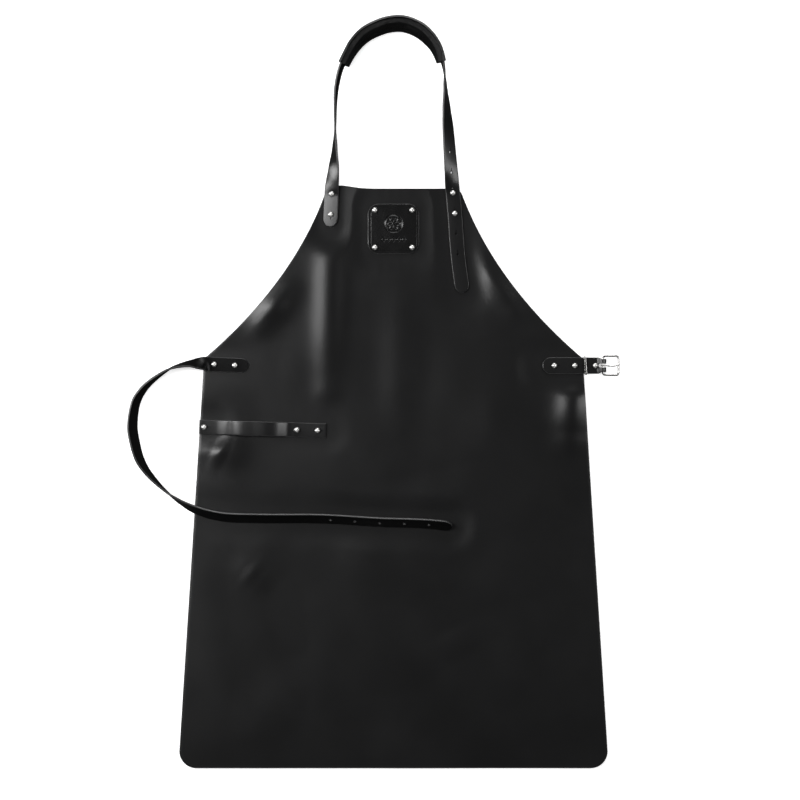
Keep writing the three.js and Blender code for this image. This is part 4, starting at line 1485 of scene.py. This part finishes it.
class APRON_OT_patch(bpy.types.Operator):
    """The glossy leather patch, tooled with a border, a ringed rosette and a row of lozenges"""
    bl_idname = "apron.patch"
    bl_label = "Chest patch"

    def execute(self, context):
        rounding = context.scene.apron_sizes.edge_rounding
        pitch, half_x, half_y = 0.0004, PATCH_WIDTH / 2, PATCH_LENGTH / 2
        rows, columns = round(PATCH_LENGTH / pitch), round(PATCH_WIDTH / pitch)
        limit_x, limit_y = half_x - rounding, half_y - rounding
        radius = PATCH_CORNER - rounding
        flat = []
        for i in range(rows + 1):
            y = limit_y * math.sin(math.pi / 2 * (2 * i / rows - 1)) * 0.35
            y += limit_y * 0.65 * (2 * i / rows - 1)
            past = max(abs(y) - (limit_y - radius), 0)
            reach = limit_x - radius + math.sqrt(max(radius ** 2 - past ** 2, 0))
            flat += [(reach * (2 * k / columns - 1), y) for k in range(columns + 1)]
        across = columns + 1
        quads = grid_faces(rows + 1, across)
        border = grid_border(rows + 1, across)
        top, low = PATCH_HIGH.z, PATCH_LOW.z
        points = [(x, PATCH_Y + y, top + self.tooling(x, y)) for x, y in flat]
        faces, kinds = list(quads), [GRAIN] * len(quads)
        loop = np.array([flat[i] for i in border])
        outward = outward_steps(loop)
        loops = [border]
        for out, height in ((0.5, top - 0.13 * rounding), (0.87, top - 0.5 * rounding),
                            (1, top - rounding), (1, low + rounding), (0.6, low + 0.2 * rounding),
                            (0, low)):
            first = len(points)
            rim = loop + outward * rounding * out
            points += [(x, PATCH_Y + y, height) for x, y in rim]
            loops.append(list(range(first, len(points))))
        sides = walls(loops)
        faces += sides
        kinds += [EDGE] * len(sides)
        faces.append(tuple(reversed(loops[-1])))
        kinds.append(FLESH)
        patch = finished("front_patch_leather", points, faces, leather("patch"), kinds, 60)
        carve(patch, keyholes(PATCH_SITES), 60)
        settle(patch, "root", "patch_leather", "front_patch")
        return {"FINISHED"}

    border_inset = 0.0042
    rosette_up, ring_radius, boss_radius = 0.0075, 0.0125, 0.0019
    petal_radius, petal_reach, petals = 0.0032, 0.0056, 3
    lozenges_down, lozenge_pitch, lozenge_half = 0.0155, 0.0074, 0.0027

    @staticmethod
    def groove(gap, half, depth):
        """Depth of a rounded groove at a distance from its middle."""
        return -depth * math.exp(-(gap / half) ** 2)

    def tooling(self, x, y):
        """The tooled ornament's height at a place, from the patch's middle."""
        corner = PATCH_CORNER - self.border_inset
        dx = abs(x) - (PATCH_WIDTH / 2 - self.border_inset - corner)
        dy = abs(y) - (PATCH_LENGTH / 2 - self.border_inset - corner)
        border = math.hypot(max(dx, 0), max(dy, 0)) + min(max(dx, dy), 0) - corner
        height = self.groove(border, 0.0007, 0.00012)
        up = y - self.rosette_up
        radius, angle = math.hypot(x, up), math.atan2(up, x)
        height += self.groove(radius - self.ring_radius, 0.0008, 0.0006)
        wave = abs(math.cos(self.petals * angle)) ** 0.8
        petal = self.petal_radius + self.petal_reach * wave
        height += self.groove(radius - petal, 0.0008, 0.00055)
        height += 0.0004 * math.exp(-(radius / self.boss_radius) ** 2)
        for k in range(5):
            beside = abs(x - (k - 2) * self.lozenge_pitch)
            lozenge = beside + 0.8 * abs(y + self.lozenges_down) - self.lozenge_half
            height += self.groove(lozenge, 0.0007, 0.0005)
        puff = 0.0005 * math.cos(math.pi * x / PATCH_WIDTH) * math.cos(math.pi * y / PATCH_LENGTH)
        soft = 0.0002 * noise.noise(Vector((x * 60, y * 60, 2)))
        return height + puff + soft


# ------------------------------------------------------------------ buckle and keeper


def buckle_place():
    at = Matrix.Translation((BAR_X, TAB_Y, BAR_Z))
    return at @ Matrix.Rotation(BUCKLE_TILT, 4, "Y")


class APRON_OT_buckle(bpy.types.Operator):
    """The wire buckle with its wavy prong, and the slanted metal keeper on the tab"""
    bl_idname = "apron.buckle"
    bl_label = "Buckle and keeper"

    def execute(self, context):
        self.make_frame()
        self.make_prong()
        self.make_keeper()
        return {"FINISHED"}

    def make_frame(self):
        width = BUCKLE_WIDTH + 2 * WIRE_RADIUS
        outline = evened(rounded_outline(BUCKLE_REACH, width, BUCKLE_CORNER, 8), 0.0012)
        place = buckle_place()
        line = [place @ Vector((x + BUCKLE_REACH / 2, y, 0)) for x, y in outline]
        line = [point for i, point in enumerate(line) if (point - line[i - 1]).length > 1e-5]
        points, faces = tube(line, WIRE_RADIUS, 20, True)
        piece = finished("buckle_frame_wire", points, faces, [MATERIALS["buckle"]])
        settle(piece, "buckle", "buckle_nickel", "buckle_frame")

    def make_prong(self):
        wrap = WIRE_RADIUS + METAL_GAP + PRONG_RADIUS
        rows = []
        for i in range(11):
            angle = math.radians(-60 - 21 * i)
            rows.append((wrap * math.cos(angle), 0, wrap * math.sin(angle)))
        rows += [(BUCKLE_REACH * 0.2, 0, wrap), (BUCKLE_REACH * 0.45, -0.0009, wrap + 0.0002),
                 (BUCKLE_REACH * 0.75, -0.0005, wrap + 0.0004),
                 (BUCKLE_REACH + 0.001, 0.0016, wrap)]
        place = buckle_place()
        line = [place @ Vector(row) for row in spline(rows)[::4]]
        sides, tapers = 18, (0.5, 0.82, 0.96)
        points, faces = tube(line, PRONG_RADIUS, sides)
        for i, centre in enumerate(line):
            from_end = min(i, len(line) - 1 - i)
            taper = tapers[from_end] if from_end < len(tapers) else 1.0
            for k in range(i * sides, (i + 1) * sides):
                points[k] = centre + (points[k] - centre) * taper
        piece = finished("buckle_prong_wire", points, faces, [MATERIALS["buckle"]])
        settle(piece, "prong", "buckle_nickel", "buckle_prong")

    def make_keeper(self):
        low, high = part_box("strap_keeper")
        thick, width, slant = 0.0012, 0.003, math.radians(4)
        inside = TAB_WIDTH + 2 * (METAL_GAP + 0.00005)
        height = high.z - low.z
        outline = evened(rounded_outline(inside + thick, height - thick, 0.0014, 6), 0.0015)
        section = rounded_outline(width, thick, 0.00045, 4)
        middle = Vector(((low.x + high.x) / 2, TAB_Y, (low.z + high.z) / 2))
        turn = Matrix.Rotation(slant, 4, "Z")
        count = len(outline)
        points = []
        for i, (y, z) in enumerate(outline):
            before, after = Vector(outline[i - 1]), Vector(outline[(i + 1) % count])
            run = (after - before).normalized()
            out = Vector((0, run.y, -run.x))
            for u, v in section:
                points.append(middle + turn @ (Vector((u, y, z)) + out * v))
        piece = finished("strap_keeper_band", points, rings_to_faces(count, len(section), True),
                         [MATERIALS["buckle"]])
        settle(piece, "keeper", "buckle_nickel", "strap_keeper")


# ------------------------------------------------------------------ the stage


class APRON_OT_stage(bpy.types.Operator):
    """A pale floor, soft studio lights and a dim studio world"""
    bl_idname = "apron.stage"
    bl_label = "Stage"

    # Name, place, aim, size across and along, power, share of it that gloss shows
    lamps = [
        ("left_window", (-1.9, 0.7, 2.5), (-0.1, 0.1, 0), 0.7, 2.4, 70, 1.0),
        ("left_low", (-2.4, 0.5, 0.42), (-0.1, 0.48, 0), 0.7, 1.4, 36, 1.0),
        ("right_window", (2.4, 0.4, 2.3), (0.1, 0.1, 0), 0.7, 2.2, 36, 1.0),
        ("top_bounce", (0.1, 3.1, 1.6), (0, 0.2, 0), 2.8, 1.0, 70, 1.0),
        ("foot_bounce", (0.0, -3.0, 2.4), (0, -0.1, 0), 2.6, 1.0, 22, 0.2),
    ]

    def execute(self, context):
        self.make_floor()
        for lamp in self.lamps:
            self.make_lamp(*lamp)
        world = bpy.data.worlds.new("studio")
        context.scene.world = world
        world.use_nodes = True
        background = world.node_tree.nodes["Background"]
        background.inputs["Color"].default_value = (1, 1, 1, 1)
        # Dim as a light, so that gloss stays deep, but pale where it is seen directly
        rays = world.node_tree.nodes.new("ShaderNodeLightPath")
        seen = world.node_tree.nodes.new("ShaderNodeMapRange")
        seen.inputs["To Min"].default_value, seen.inputs["To Max"].default_value = 0.05, 0.9
        world.node_tree.links.new(rays.outputs["Is Camera Ray"], seen.inputs["Value"])
        world.node_tree.links.new(seen.outputs["Result"], background.inputs["Strength"])
        context.scene.view_settings.view_transform = "Standard"
        context.scene.view_settings.look = "None"
        return {"FINISHED"}

    @staticmethod
    def make_floor():
        half, height = 6.0, -0.0001
        points = [(x * half, y * half, height) for x, y in ((-1, -1), (1, -1), (1, 1), (-1, 1))]
        floor = finished("floor", points, [(0, 1, 2, 3)], [MATERIALS["floor"]],
                         turned_out=False)
        floor.visible_glossy = False

    @staticmethod
    def make_lamp(name, place, aim, across, along, power, gloss):
        data = bpy.data.lights.new(name, "AREA")
        data.shape, data.size, data.size_y = "RECTANGLE", across, along
        data.energy, data.specular_factor = power, gloss
        lamp = bpy.data.objects.new(name, data)
        bpy.context.scene.collection.objects.link(lamp)
        lamp.location = place
        lamp.rotation_euler = (Vector(aim) - Vector(place)).to_track_quat("-Z", "Y").to_euler()


class APRON_OT_camera(bpy.types.Operator):
    """A long lens straight above the apron"""
    bl_idname = "apron.camera"
    bl_label = "Camera"

    def execute(self, context):
        distance, view_width = 6.0, 1.168
        data = bpy.data.cameras.new("camera")
        data.sensor_width = 36
        data.lens = data.sensor_width * distance / view_width
        camera = bpy.data.objects.new("camera", data)
        context.scene.collection.objects.link(camera)
        camera.location = (0.0095, 0.1143, distance)
        context.scene.camera = camera
        return {"FINISHED"}


# ------------------------------------------------------------------ panel and main


class APRON_PT_sidebar(bpy.types.Panel):
    bl_label = "Leather Apron"
    bl_idname = "APRON_PT_sidebar"
    bl_space_type = "VIEW_3D"
    bl_region_type = "UI"
    bl_category = "Apron"

    def draw(self, context):
        for group in (context.scene.apron_sizes, context.scene.apron_colours):
            box = self.layout.box()
            for name in group.bl_rna.properties.keys():
                if name not in ("rna_type", "name"):
                    box.prop(group, name)
        for operator in OPERATORS:
            self.layout.operator(operator.bl_idname)


OPERATORS = (
    APRON_OT_camera, APRON_OT_waist_strap, APRON_OT_panel, APRON_OT_neck_strap,
    APRON_OT_neck_pad, APRON_OT_towel_strap, APRON_OT_buckle_tab, APRON_OT_patch,
    APRON_OT_studs, APRON_OT_buckle, APRON_OT_stage,
)
CLASSES = (ApronSizes, ApronColours, *OPERATORS, APRON_PT_sidebar)


def register():
    for each in CLASSES:
        bpy.utils.register_class(each)
    bpy.types.Scene.apron_sizes = bpy.props.PointerProperty(type=ApronSizes)
    bpy.types.Scene.apron_colours = bpy.props.PointerProperty(type=ApronColours)


def unregister():
    del bpy.types.Scene.apron_colours
    del bpy.types.Scene.apron_sizes
    for each in reversed(CLASSES):
        bpy.utils.unregister_class(each)


def main():
    register()
    MATERIALS.update(make_materials(bpy.context.scene.apron_colours))
    for operator in OPERATORS:
        group, name = operator.bl_idname.split(".")
        getattr(getattr(bpy.ops, group), name)()


if __name__ == "__main__":
    main()
